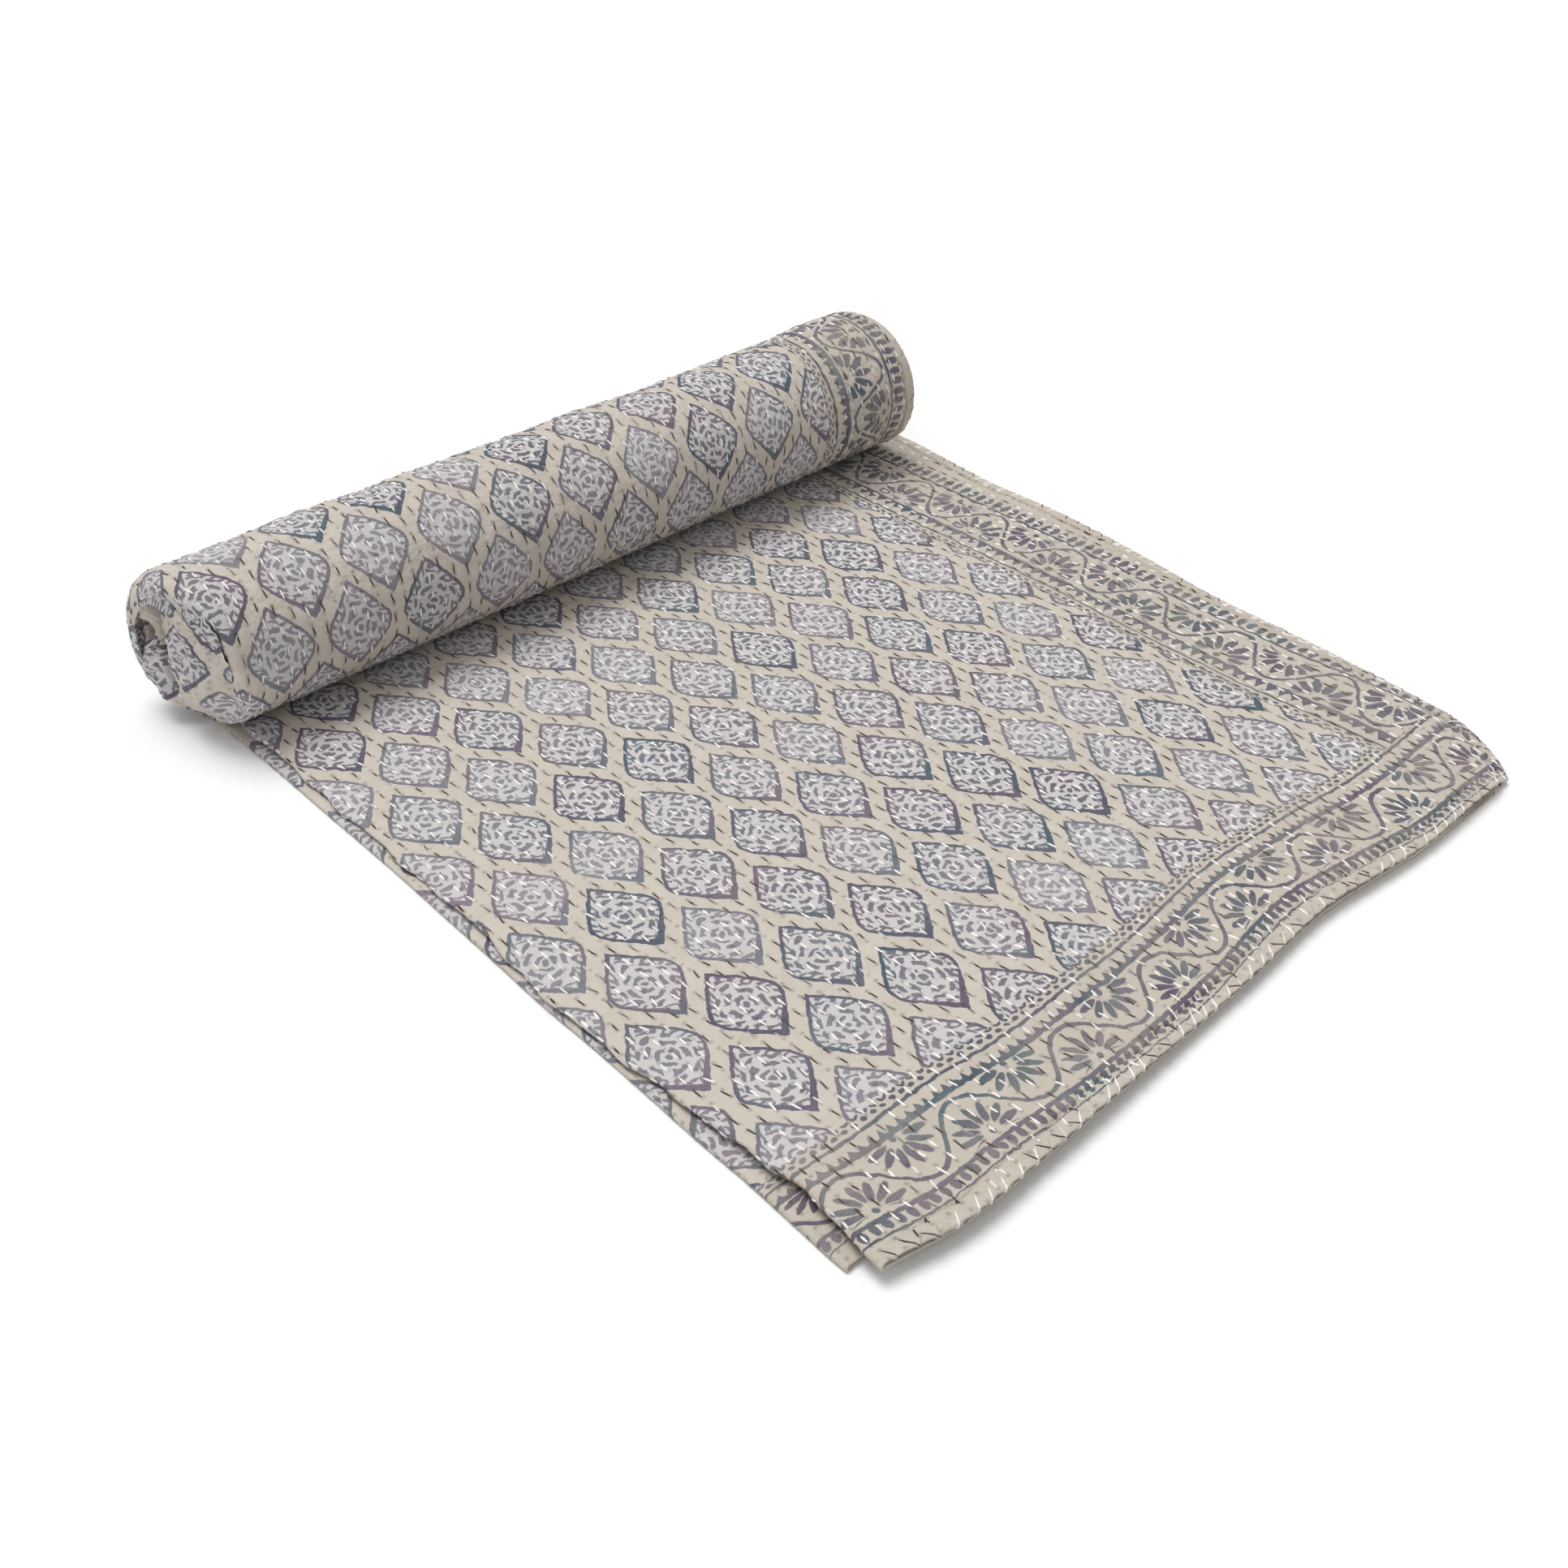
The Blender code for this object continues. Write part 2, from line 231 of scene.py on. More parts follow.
# %% The height of each layer's face above the sheet's underside
FLIP_START, FLIP_END = 0.460, 0.540  # where the middle layers show their other face
LIFT_RUNS_OUT = 0.8  # the share of the width over which the lift of the left folds runs out
FLAT_WAVES = (
    Wave(0.0005, 0.31, 0.23, 0.4),
    Wave(0.0003, 0.17, -0.29, 2.1),
    Wave(0.00025, 0.11, 0.13, 5.0),
    Wave(0.00015, -0.07, 0.09, 1.3),
)


def flipped(layer, across):
    """1 where a middle layer's sheet stands for its far face, at its right fold."""
    return ease((across - FLIP_START) / (FLIP_END - FLIP_START)) if layer in (1, 2) else 0.0


def flat_height(layer, section, across):
    """Where a layer's printed face lies in the flat half."""
    pair = CLOTH + section.gap
    heights = (0.0, CLOTH + pair, 2 * pair, CLOTH + 3 * pair)
    height = heights[layer] + GROUND
    if layer == 0:
        return height + 0 * across
    side = -1 if layer == 1 else 1
    height = height + side * CLOTH * flipped(layer, across)
    if layer >= 2:
        width = section.inner_fold - section.top_fold
        from_left = (across - section.top_fold) / width
        height = height + section.lift * (1 - ease(from_left / LIFT_RUNS_OUT))
    calm = section.gap / SECTIONS[0].gap
    height = height + calm * (layer / 3) ** 2 * waves(FLAT_WAVES, across, section.along)
    if layer == 3:
        overhang = section.top_hem - section.inner_fold
        height = height - section.droop * ease((across - section.inner_fold) / overhang)
    return height


for section in (SECTIONS[0], SECTIONS[-1]):
    print("at", section.along, "m the top fold lies", flat_height(3, section, section.top_fold), "m up")

# %% What a layer, a fold and a hem look like in the cross-section
TINY = 1e-9
UNDER_HALF = 0.5  # of the inner fold, which takes its print from the layer below


def on_layer(layer, ends, radius, height, count):
    """Which places lie on a layer, and their (across, up, place) from one end to the other."""
    start, end = ends
    share = (count - layer - AROUND) / (1 - 2 * AROUND)
    here = (share >= -TINY) & (share <= 1 + TINY)
    across = start + (end - start) * share[here]
    left = min(ends)
    past = across - left
    place = left + past if layer in (0, 3) else left - math.pi * radius - past
    return here, (across, height(layer, across), place)


def on_fold(fold, middle, radius, height, count, laid):
    """Which places lie round a fold, and their (across, up, place) on its half circle."""
    turn = (count - fold + AROUND) / (2 * AROUND)
    here = (turn > TINY) & (turn < 1 - TINY)
    angle = math.pi * turn[here]
    side = 1 if fold == 2 else -1
    across = middle + side * radius * np.sin(angle)
    centre = (height(fold, middle) + height(fold - 1, middle)) / 2
    from_lower = laid[turn <= TINY][-1] - radius * angle
    from_upper = laid[turn >= 1 - TINY][0] - radius * (math.pi - angle)
    lower = (turn[here] < UNDER_HALF) if fold == 2 else fold == 1
    return here, (across, centre - radius * np.cos(angle), np.where(lower, from_lower, from_upper))


def on_hem(layer, end, height, count):
    """Which places lie on a turned hem, and their (across, up, place) round it and back."""
    turn = (AROUND - count if layer == 0 else count - 4 + AROUND) / AROUND
    here = turn > TINY
    side = 1 if layer == 0 else -1
    angle = math.pi * np.clip(turn[here] / HEM_TURN, 0, 1)
    back = np.clip((turn[here] - HEM_TURN) / (1 - HEM_TURN), 0, 1) * HEM
    across = end + HEM_RADIUS * np.sin(angle) - back
    up = height(layer, end) + side * HEM_RADIUS * (1 - np.cos(angle))
    return here, (across, up, end + HEM_RADIUS * angle + back)


# %% The cross-section: a point for each place across
def folded_section(section, height, count):
    """(across, up, place) for each place of count. height(layer, across) gives a layer's face.

    place is the same as across on the lowest and the top layer. From there it runs on round the
    left folds at the cloth's own length, and so it says where a point lies in the print.
    """
    low = (height(1, section.low_fold) - height(0, section.low_fold)) / 2
    inner = (height(2, section.inner_fold) - height(1, section.inner_fold)) / 2
    top = (height(3, section.top_fold) - height(2, section.top_fold)) / 2
    turns_at = (
        section.low_hem - HEM_RADIUS,
        section.low_fold + low,
        section.inner_fold - inner,
        section.top_fold + top,
        section.top_hem - HEM_RADIUS,
    )
    line = np.zeros((3, len(count)))
    for layer, ends in enumerate(zip(turns_at, turns_at[1:])):
        here, points = on_layer(layer, ends, low if layer < 2 else top, height, count)
        line[:, here] = points
    for fold, radius in ((1, low), (2, inner), (3, top)):
        here, points = on_fold(fold, turns_at[fold], radius, height, count, line[2])
        line[:, here] = points
    for layer, end in ((0, turns_at[0]), (3, turns_at[-1])):
        here, points = on_hem(layer, end, height, count)
        line[:, here] = points
    return line


first = SECTIONS[0]
trial = folded_section(
    first, lambda layer, across: flat_height(layer, first, across), places_across((24,) * 4)
)
print("from hem to hem the cloth measures", np.hypot(*np.diff(trial[:2])).sum(), "m at its front")

# %% [markdown]
# ## The flat half
# Rows of cross-sections, 3 mm apart. The running stitch pulls the cloth down in shallow furrows,
# and between two furrows it puffs up a little. This relief is modelled, because it catches the
# light along the whole quilt. A bump map alone would look printed on.

# %% Creases, listed one by one
Crease = namedtuple("Crease", "across along turned length width height")
CREASES = (
    Crease(0.120, 0.016, 4, 0.075, 0.007, 0.0012),
    Crease(0.235, 0.014, -3, 0.060, 0.006, 0.0012),
    Crease(0.330, 0.020, 6, 0.050, 0.008, 0.0010),
    Crease(0.440, 0.012, -8, 0.055, 0.006, 0.0010),
    Crease(0.505, 0.030, 35, 0.045, 0.009, 0.0014),
    Crease(0.548, 0.095, 86, 0.060, 0.007, 0.0012),
    Crease(0.556, 0.215, 92, 0.070, 0.008, 0.0009),
    Crease(0.530, 0.310, 84, 0.080, 0.010, 0.0008),
    Crease(0.410, 0.130, 60, 0.090, 0.013, 0.0007),
    Crease(0.300, 0.260, 48, 0.110, 0.015, 0.0006),
    Crease(0.180, 0.350, 70, 0.120, 0.014, 0.0006),
    Crease(0.470, 0.400, 100, 0.100, 0.012, 0.0007),
    Crease(0.020, 0.110, 85, 0.070, 0.006, 0.0008),
    Crease(0.018, 0.260, 96, 0.060, 0.006, 0.0009),
)


def creases(across, along):
    """Soft ridges, each a long low hump across its own line."""
    total = 0.0
    for crease in CREASES:
        turn = math.radians(crease.turned)
        x, y = across - crease.across, along - crease.along
        down = (x * math.cos(turn) + y * math.sin(turn)) / crease.length
        over = (y * math.cos(turn) - x * math.sin(turn)) / crease.width
        total = total + crease.height * np.exp(-down * down - over * over)
    return total


print("the top layer has", len(CREASES), "creases")

# %% Furrows of the running stitch
STITCH_ROWS = 0.0089  # from one row of stitches to the next
STITCH_PITCH = 0.0116  # from one stitch of a row to the next
RowPhase = namedtuple("RowPhase", "size rate start")
ROW_PHASES = (RowPhase(0.35, 2.1, 0.0), RowPhase(0.25, 5.3, 1.0))
PUFF = 0.00065
PUFF_USUAL, PUFF_VARIES = 0.75, 0.35  # how high the puffs are, as shares of the highest
FURROW = 0.45  # how deep a furrow runs on between its stitches, as a share of its depth there
FURROW_EDGE = 3  # a larger power makes furrows narrower
PINCH = 0.00030
PUFF_WAVES = (
    Wave(0.5, 0.043, 0.031, 0.0),
    Wave(0.5, -0.067, 0.052, 1.0),
    Wave(0.4, 0.019, 0.023, 2.0),
)
WRINKLES = (
    Wave(0.5, 0.0190, 0.0132, 0.3),
    Wave(0.4, -0.0143, 0.0171, 1.4),
    Wave(0.4, 0.0123, 0.0290, 2.2),
    Wave(0.4, 0.0310, -0.0119, 4.1),
)


def row_phase(row):
    """Where the stitches of a row start, as a share of the pitch."""
    return sum(part.size * np.sin(part.rate * row + part.start) for part in ROW_PHASES)


def puffs(across, along):
    """How far the cloth stands up between its rows of stitches, uneven from place to place."""
    row = np.round(across / STITCH_ROWS)
    on_stitch = 0.5 + 0.5 * np.cos(math.tau * (along / STITCH_PITCH - row_phase(row)))
    near_row = np.abs(np.cos(math.pi * across / STITCH_ROWS)) ** FURROW_EDGE
    furrow = 1 - near_row * (FURROW + (1 - FURROW) * on_stitch)
    uneven = PUFF_USUAL + PUFF_VARIES * waves(PUFF_WAVES, across, along)
    return PUFF * furrow * uneven + PINCH * waves(WRINKLES, across, along)


print("the top layer has", round(FOLDED_WIDTH / STITCH_ROWS), "rows of running stitch")

# %% The strip that a turned hem raises, and the bows of its edge
WHIP_PITCH = 0.0105  # from one whip stitch over a hem to the next
STRIP, PRESSED = 0.0007, 0.000175  # the strip's height, and how far it is pressed down
STRIP_EDGE, STRIP_SLOPE = -0.0010, 0.0016  # from the end of the turned cloth
GROOVE, GROOVE_AT, GROOVE_WIDTH = 0.0015, 0.0004, 0.0009
BOW = 0.0007
STRIP_WAVES = (
    Wave(-0.0005, 1.0, math.tau * 0.0043, 0.0),
    Wave(-0.0004, 1.0, math.tau * 0.0111, 1.0),
)


def hem_strip(distance, run):
    """The cloth that is turned under raises a strip along a hem, with a groove behind it."""
    past = distance + waves(STRIP_WAVES, 0, run) - HEM
    strip = 1 - ease((past - STRIP_EDGE) / STRIP_SLOPE)
    groove = np.exp(-(((past - GROOVE_AT) / GROOVE_WIDTH) ** 2))
    between = np.sin(math.pi * run / WHIP_PITCH) ** 2
    return (STRIP - PRESSED * between) * strip - GROOVE * groove


def scallops(run):
    """The whip stitches draw a hem in between them, so its edge runs in small bows."""
    return BOW * (1 - np.abs(np.sin(math.pi * run / WHIP_PITCH)))


print("a hem has a bow every", WHIP_PITCH, "m")


# %% Rows along the flat half
FOLD_WAVES = (
    Wave(0.0008, 1.0, 0.047, 0.5),
    Wave(0.0006, 1.0, 0.031, 2.0),
    Wave(0.0006, 1.0, 0.083, 4.0),
)
ROW = STITCH_PITCH / 4
TOP_STEPS, HIDDEN_STEPS = 256, 24  # four to a row of stitches where it shows
CORNER_BOWS = 0.030  # how far from the corner the side hem's bows reach their full size
FRONT_BOWS = 0.004  # how far behind the front hem its bows can be seen
BOWS_ASIDE = 0.4  # the part of a bow by which each layer's front bows lie aside
LOW_PAIR = 1.5  # up to that place across the cloth, the front hem follows its lower line
FOLD_CALM, FOLD_CALM_START, HEM_CALM = 0.010, 0.004, 0.020  # where folds and hems stay smooth
flat_count = places_across((HIDDEN_STEPS, HIDDEN_STEPS, HIDDEN_STEPS, TOP_STEPS))
flat_rows = np.union1d(np.linspace(0, AXIS_ALONG, round(AXIS_ALONG / ROW) + 1), HEM_DETAIL)


def station(table, at):
    """One row of a table, at any place along it."""
    row = type(table[0])
    return row(at, *(float(read(table, column, at)) for column in row._fields[1:]))


def front_hem(count, across):
    """How far behind the measuring line the front hem lies, at each place across."""
    low, top = read(FRONTS, "low", across), read(FRONTS, "top", across)
    return low + (top - low) * ease(count - LOW_PAIR)


def flat_row(along):
    """Points across the cloth at one place along the flat half."""
    section = station(SECTIONS, along)
    bow = float(scallops(along)) * math.sin(math.pi * min(along / CORNER_BOWS, 0.5))
    fold = section.top_fold + waves(FOLD_WAVES, 0, along)
    section = section._replace(top_hem=section.top_hem - bow, top_fold=fold)
    across, up, place = folded_section(
        section, lambda layer, across: flat_height(layer, section, across), flat_count
    )
    back = along + front_hem(flat_count, across) * (1 - ease(along / FRONT_REACH))
    bows = scallops(across + BOWS_ASIDE * WHIP_PITCH * flat_count)
    back = back + bows * (1 - ease(along / FRONT_BOWS))
    shown = (flat_count > 3 + AROUND) & (flat_count < 4 - AROUND)
    side = section.top_hem - across
    edge = ease((across - section.top_fold - FOLD_CALM_START) / FOLD_CALM) * ease(side / HEM_CALM)
    relief = (puffs(across, along) + creases(across, along)) * edge
    relief = relief + hem_strip(np.minimum(side, along), np.where(side < along, along, across))
    up = up + np.where(shown, relief, 0)
    return np.stack([across, back, up, place], axis=1)


flat_sheet = np.array([flat_row(along) for along in flat_rows])
flat_sheet, flat_place = flat_sheet[..., :3], flat_sheet[..., 3]
print("the flat half has", flat_sheet.shape[0], "rows of", flat_sheet.shape[1], "points")


# %% [markdown]
# The front hem is turned under as well. Rather than model it by hand, the first row is swept
# round a half circle towards the cloth's reverse, and then run back 9 mm, at every place across.

# %% Normals of a sheet, and the turned front hem
FRONT_RUNS_BACK = (1.0, 0.4)  # rows on the flat run back, as shares of its length
FRONT_TURNS = np.linspace(1, 0, 6)[:-1]  # and round the half circle
SHORTEST = 1e-12  # keeps a point where rows meet from dividing by nothing


def unit(vectors):
    """The same directions with a length of 1."""
    return vectors / np.maximum(np.linalg.norm(vectors, axis=-1, keepdims=True), SHORTEST)


def normals_of(sheet):
    """Unit normals at every point of a grid, out of the printed face."""
    along = np.gradient(sheet, axis=0)
    across = np.gradient(sheet, axis=1)
    return unit(np.cross(across, along))


def faces_in(count, across):
    """1 where the reverse lies behind the printed face, -1 at the flipped middle layers."""
    shown = ease((across - FLIP_START) / (FLIP_END - FLIP_START))
    middle = (count > 1 + AROUND) & (count < 3 - AROUND)
    return np.where(middle, 1 - 2 * shown, 1.0)


def turned_hem(sheet, count):
    """Rows that turn a sheet's first row under, the last of them next to the sheet."""
    forward = unit(sheet[0] - sheet[1])
    inward = -normals_of(sheet[:2])[0] * faces_in(count, sheet[0, :, 0])[:, None]
    rows = []
    for back in FRONT_RUNS_BACK:
        rows.append(sheet[0] + 2 * HEM_RADIUS * inward - forward * back * HEM)
    for turn in FRONT_TURNS * math.pi:
        out = HEM_RADIUS * math.sin(turn)
        rows.append(sheet[0] + out * forward + HEM_RADIUS * (1 - math.cos(turn)) * inward)
    return np.array(rows)


front_rows = turned_hem(flat_sheet, flat_count)
print("the front hem turns under in", len(front_rows), "rows")

# %% [markdown]
# ## The rolled half
# The same cross-section is wound instead of stacked. Its height becomes a distance inwards from
# the outermost turn, and each row turns a little further round the roll's axis. From the flat
# half the layers are drawn together within a quarter of a turn. After that each turn takes 3.5 mm.
# Blender can bend a flat mesh round, but every layer and every turn needs a radius of its own.

# %% The winding
PITCH = 0.0035
RollRadius = namedtuple("RollRadius", "turn radius")
RADII = (
    RollRadius(0.00, 0.0523),
    RollRadius(0.25, 0.0512),
    RollRadius(0.50, 0.0497),
    RollRadius(0.75, 0.0478),
    RollRadius(1.00, 0.0459),
)
CORE = 0.0055
AXIS_HEIGHT = RADII[0].radius + GROUND
FLARE, FLARE_FROM, FLARE_OVER = 0.0022, 0.47, 0.09  # the roll is wider at its right end
RISE, RISE_FROM, RISE_OVER = 0.0024, 0.10, 0.45  # and stands higher there, on the crossing hems
FLAT_SPOT = 0.010  # the share of its radius that it loses underneath
FLAT_SPOT_ANGLE = 15.0
DRAWN_IN = 0.25  # the part of a turn in which the layers are drawn together
LAYER_SHARES = (0.0, 0.44, 0.54, 0.97)  # of the pitch, where each layer's printed face lies
LAST_TURN = 1 + (RADII[-1].radius - CORE) / PITCH
ROLL_WAVES = (
    Wave(0.0007, 0.37, 0.21, 1.0),
    Wave(0.0005, 0.19, -0.17, 2.6),
    Wave(0.0004, 0.11, 0.09, 0.5),
    Wave(0.0003, -0.07, 0.12, 4.0),
)
print("the roll has", round(LAST_TURN, 1), "turns")


def roll_radius(turn):
    """The radius of the roll's skin at a turn."""
    beyond = np.maximum(turn - 1, 0)
    return read(RADII, "radius", np.minimum(turn, 1)) - PITCH * beyond


# %% [markdown]
# The outer turn's left edge bends inwards round the end of the roll, by up to a quarter of a
# circle, and runs on straight from there. A bend keeps the cloth's length, so the print runs on
# round it.

# %% The rounded left end
SMALLEST_BEND = 0.0037
FULL_BEND = 0.005  # from this radius on, the bend is a whole quarter


def end_bend(turn_row):
    """The bend's angle, its radius and where it starts."""
    bend = math.pi / 2 * min(1.0, turn_row.nose / FULL_BEND)
    radius = max(turn_row.nose, SMALLEST_BEND)
    return bend, radius, turn_row.left + radius * math.sin(bend)


def bent_round(across, inward, turn_row):
    """Where a point of the wound section goes when its left end is bent inwards."""
    bend, radius, start = end_bend(turn_row)
    length = np.maximum(start - across, 0)
    angle = np.minimum(length / radius, bend)
    beyond = length - radius * angle
    bent_across = start - (radius - inward) * np.sin(angle) - beyond * math.cos(bend)
    bent_inward = radius - (radius - inward) * np.cos(angle) + beyond * math.sin(bend)
    here = length > 0
    return np.where(here, bent_across, across), np.where(here, bent_inward, inward)


def low_fold_at(turn_row):
    """Where the lower fold lies before the bend."""
    bend, radius, start = end_bend(turn_row)
    return start - radius * bend - turn_row.tuck


print("the bend's smallest radius is", SMALLEST_BEND, "m")


# %% A deep crease in the outer turn at the rounded end, and wrinkles inside it
CreaseLine = namedtuple("CreaseLine", "turn place deep")
END_CREASE = (
    CreaseLine(0.36, -0.019, 0.0000),
    CreaseLine(0.42, -0.017, 0.0022),
    CreaseLine(0.50, -0.0145, 0.0030),
    CreaseLine(0.58, -0.0075, 0.0034),
    CreaseLine(0.63, -0.0010, 0.0036),
    CreaseLine(0.68, -0.0020, 0.0034),
    CreaseLine(0.76, -0.0030, 0.0026),
    CreaseLine(0.86, 0.0030, 0.0022),
    CreaseLine(0.92, 0.0060, 0.0000),
)
CREASE_WIDTH = 0.0022
CREASE_STEP, CREASE_STEP_OVER = 0.9, 0.004  # the cloth stays that much lower beyond the crease
WRINKLED_FROM = 0.002  # the depth from which the wrinkles have their full height
TURN_LENGTH = 0.31  # round the roll's skin, about
END_WRINKLES = (Wave(0.0007, -0.0085, 0.11, 0.4), Wave(0.0004, -0.0056, 0.07, 2.0))


def end_crease(turn, place):
    """How far the cloth lies further in, for places across at one turn of the roll."""
    away = place - read(END_CREASE, "place", turn)
    deep = read(END_CREASE, "deep", turn)
    valley = np.exp(-((away / CREASE_WIDTH) ** 2))
    past = ease(-away / CREASE_STEP_OVER)
    folded = waves(END_WRINKLES, place, turn * TURN_LENGTH)
    return deep * (valley + past * CREASE_STEP) + past * ease(deep / WRINKLED_FROM) * folded


print("the crease is", max(row.deep for row in END_CREASE), "m deep")


# %% The edges at each place of the winding
ROLL_LEAF_SHIFT = 0.0077  # the print of the rolled half lies this much further across
INNER_LEFT, INNER_SLOPE = 0.026, 0.012  # the inner turns' left folds lie ever further in
SLOPE_FROM, SLOPE_OVER = 3, 6  # turns
DEEPER_OVER = 0.5  # turns in which the left edge goes from the outer turn's to the inner ones'
INNER_WAVES = (Wave(0.0022, 9.0, 1.7, 0.3), Wave(0.0014, 9.0, 0.63, 1.0))


def turn_station(turn):
    """The edges at one place of the winding. Past the first turn they only wander a little."""
    row = station(TURNS, min(turn, TURNS[-1].turn))
    if turn <= TURNS[-1].turn:
        return row
    wander = waves(INNER_WAVES, 0, turn) * ease(turn - TURNS[-1].turn)
    deep = INNER_LEFT + INNER_SLOPE * ease((turn - SLOPE_FROM) / SLOPE_OVER)
    left = row.left + (deep - row.left) * ease((turn - TURNS[-1].turn) / DEEPER_OVER)
    edges = {name: getattr(row, name) + wander for name in ("low_hem", "top_hem", "inner_fold")}
    return row._replace(turn=turn, left=left, top_fold=deep + wander, **edges)


print("the innermost left fold lies", round(turn_station(LAST_TURN).left, 4), "m across")

# %% One row round the roll
FINE_UNTIL = 1.1  # the turn up to which the skin has its furrows
RELIEF_FROM = 0.1  # the turn at which furrows and crease are at their full depth
Edges = namedtuple("Edges", "along low_fold top_fold low_hem top_hem inner_fold")


def roll_row(turn, count):
    """Points across the cloth at one place of the winding."""
    row = turn_station(turn)
    edges = Edges(turn, low_fold_at(row), row.top_fold, row.low_hem, row.top_hem, row.inner_fold)
    loose = 1 - ease(turn / DRAWN_IN)
    last_flat = station(SECTIONS, AXIS_ALONG)

    def height(layer, across):
        tight = PITCH * LAYER_SHARES[layer] + 0 * across
        if loose == 0:
            return tight
        return tight + loose * (flat_height(layer, last_flat, across) - GROUND - tight)

    across, inward, place = folded_section(edges, height, count)
    skin = turn * TURN_LENGTH
    swell = waves(ROLL_WAVES, across, skin) * ease(turn / DRAWN_IN)
    if turn < FINE_UNTIL:
        shown = (count > AROUND) & (count < 1 - AROUND)
        relief = puffs(across + ROLL_LEAF_SHIFT, skin) * ease((row.low_hem - across) / HEM_CALM)
        relief = relief + hem_strip(row.low_hem - across, skin)
        relief = relief - end_crease(turn, place)
        inward = inward - np.where(shown, relief * ease(turn / RELIEF_FROM), 0)
    across, inward = bent_round(across, inward, row)
    angle = math.tau * turn
    from_below = math.degrees(math.remainder(angle, math.tau))
    squash = 1 - FLAT_SPOT * math.exp(-((from_below / FLAT_SPOT_ANGLE) ** 2)) * ease(turn)
    above = 0.5 - 0.5 * math.cos(angle)
    flare = FLARE * ease((across - FLARE_FROM) / FLARE_OVER) * above
    radius = (roll_radius(turn) - inward) * squash + swell * above + flare
    along = AXIS_ALONG + radius * math.sin(angle)
    rise = RISE * ease((across - RISE_FROM) / RISE_OVER) * ease(turn / DRAWN_IN)
    up = AXIS_HEIGHT - radius * math.cos(angle) + rise
    return np.stack([across, along, up, place], axis=1)


print("the skin's radius shrinks from", roll_radius(0.0), "to", roll_radius(1.0), "m in one turn")

# %% The outer turn is fine, the hidden ones are coarse
OUTER_ROWS = 80
OUTER_END = 1.03
INNER_ROWS, INNER_STEPS = 26, 16  # in each turn, and across each layer
roll_count = places_across((TOP_STEPS, HIDDEN_STEPS, HIDDEN_STEPS, HIDDEN_STEPS))
inner_count = places_across((INNER_STEPS,) * 4)
outer_turns = np.linspace(0, OUTER_END, OUTER_ROWS + 1)
inner_turns = np.linspace(OUTER_END, LAST_TURN, round((LAST_TURN - OUTER_END) * INNER_ROWS) + 1)
outer_sheet = np.array([roll_row(turn, roll_count) for turn in outer_turns])
inner_sheet = np.array([roll_row(turn, inner_count) for turn in inner_turns])
outer_sheet, outer_place = outer_sheet[..., :3], outer_sheet[..., 3]
inner_sheet, inner_place = inner_sheet[..., :3], inner_sheet[..., 3]
print("the roll has", len(outer_turns) + len(inner_turns), "rows")

# %% [markdown]
# ## Where each place lies in the print
# The block print is laid out in the cloth's own lengths, so it has to follow the cloth round
# folds and round the roll. Each point carries two pairs of lengths. One is its place in the
# leaf pattern. The other is its distance from the side hem and from the front hem, which the
# borders follow. Both are kept as UV maps, in metres. Unwrapping the finished mesh would only
# come near to these lengths, and it would not know where the hems are.
# The two halves of the quilt are printed from their own hem, so the roll's side is turned round.

# %% Where the borders' inner edges run
SIDE_LINE = 0.0900  # the inner edge of the side border, from the side hem
FRONT_LINE = 0.0625  # the inner edge of the front border, from the front hem
ROLL_SIDE_LINE = 0.4825
Line = namedtuple("Line", "past at")
SIDE_LINES = (  # past the front hem, where the side border's inner edge runs on the flat half
    Line(0.060, 0.5005),
    Line(0.085, 0.4990),
    Line(0.115, 0.4966),
    Line(0.150, 0.4940),
    Line(0.190, 0.4942),
    Line(0.240, 0.4950),
    Line(0.300, 0.4965),
)
FRONT_LINES = (  # past the fold, where the front border's inner edge runs
    Line(0.000, 0.0640),
    Line(0.036, 0.0646),
    Line(0.091, 0.0642),
    Line(0.135, 0.0596),
    Line(0.194, 0.0583),
    Line(0.240, 0.0587),
    Line(0.267, 0.0606),
    Line(0.296, 0.0629),
    Line(0.331, 0.0633),
    Line(0.358, 0.0619),
    Line(0.406, 0.0609),
    Line(0.458, 0.0567),
    Line(0.500, 0.0566),
)
print("the side border is", SIDE_LINE, "m wide and the front border", FRONT_LINE)

# %% The print place of each point
LEAF_ROW = 0.0436  # from one row of leaves to the next
Lattice = namedtuple("Lattice", "across row height slope spacing")
ROLL_LATTICE = Lattice(0.031, -0.1481, 0.0825, 0.058, 0.041)  # the leaves' rows on the roll
LEAF_PUSH, LEAF_PUSH_FROM, LEAF_PUSH_OVER = 0.6, 0.070, 0.120  # leaves follow a bent front line
FRONT_PUSH_FROM, FRONT_PUSH_OVER = 0.090, 0.060


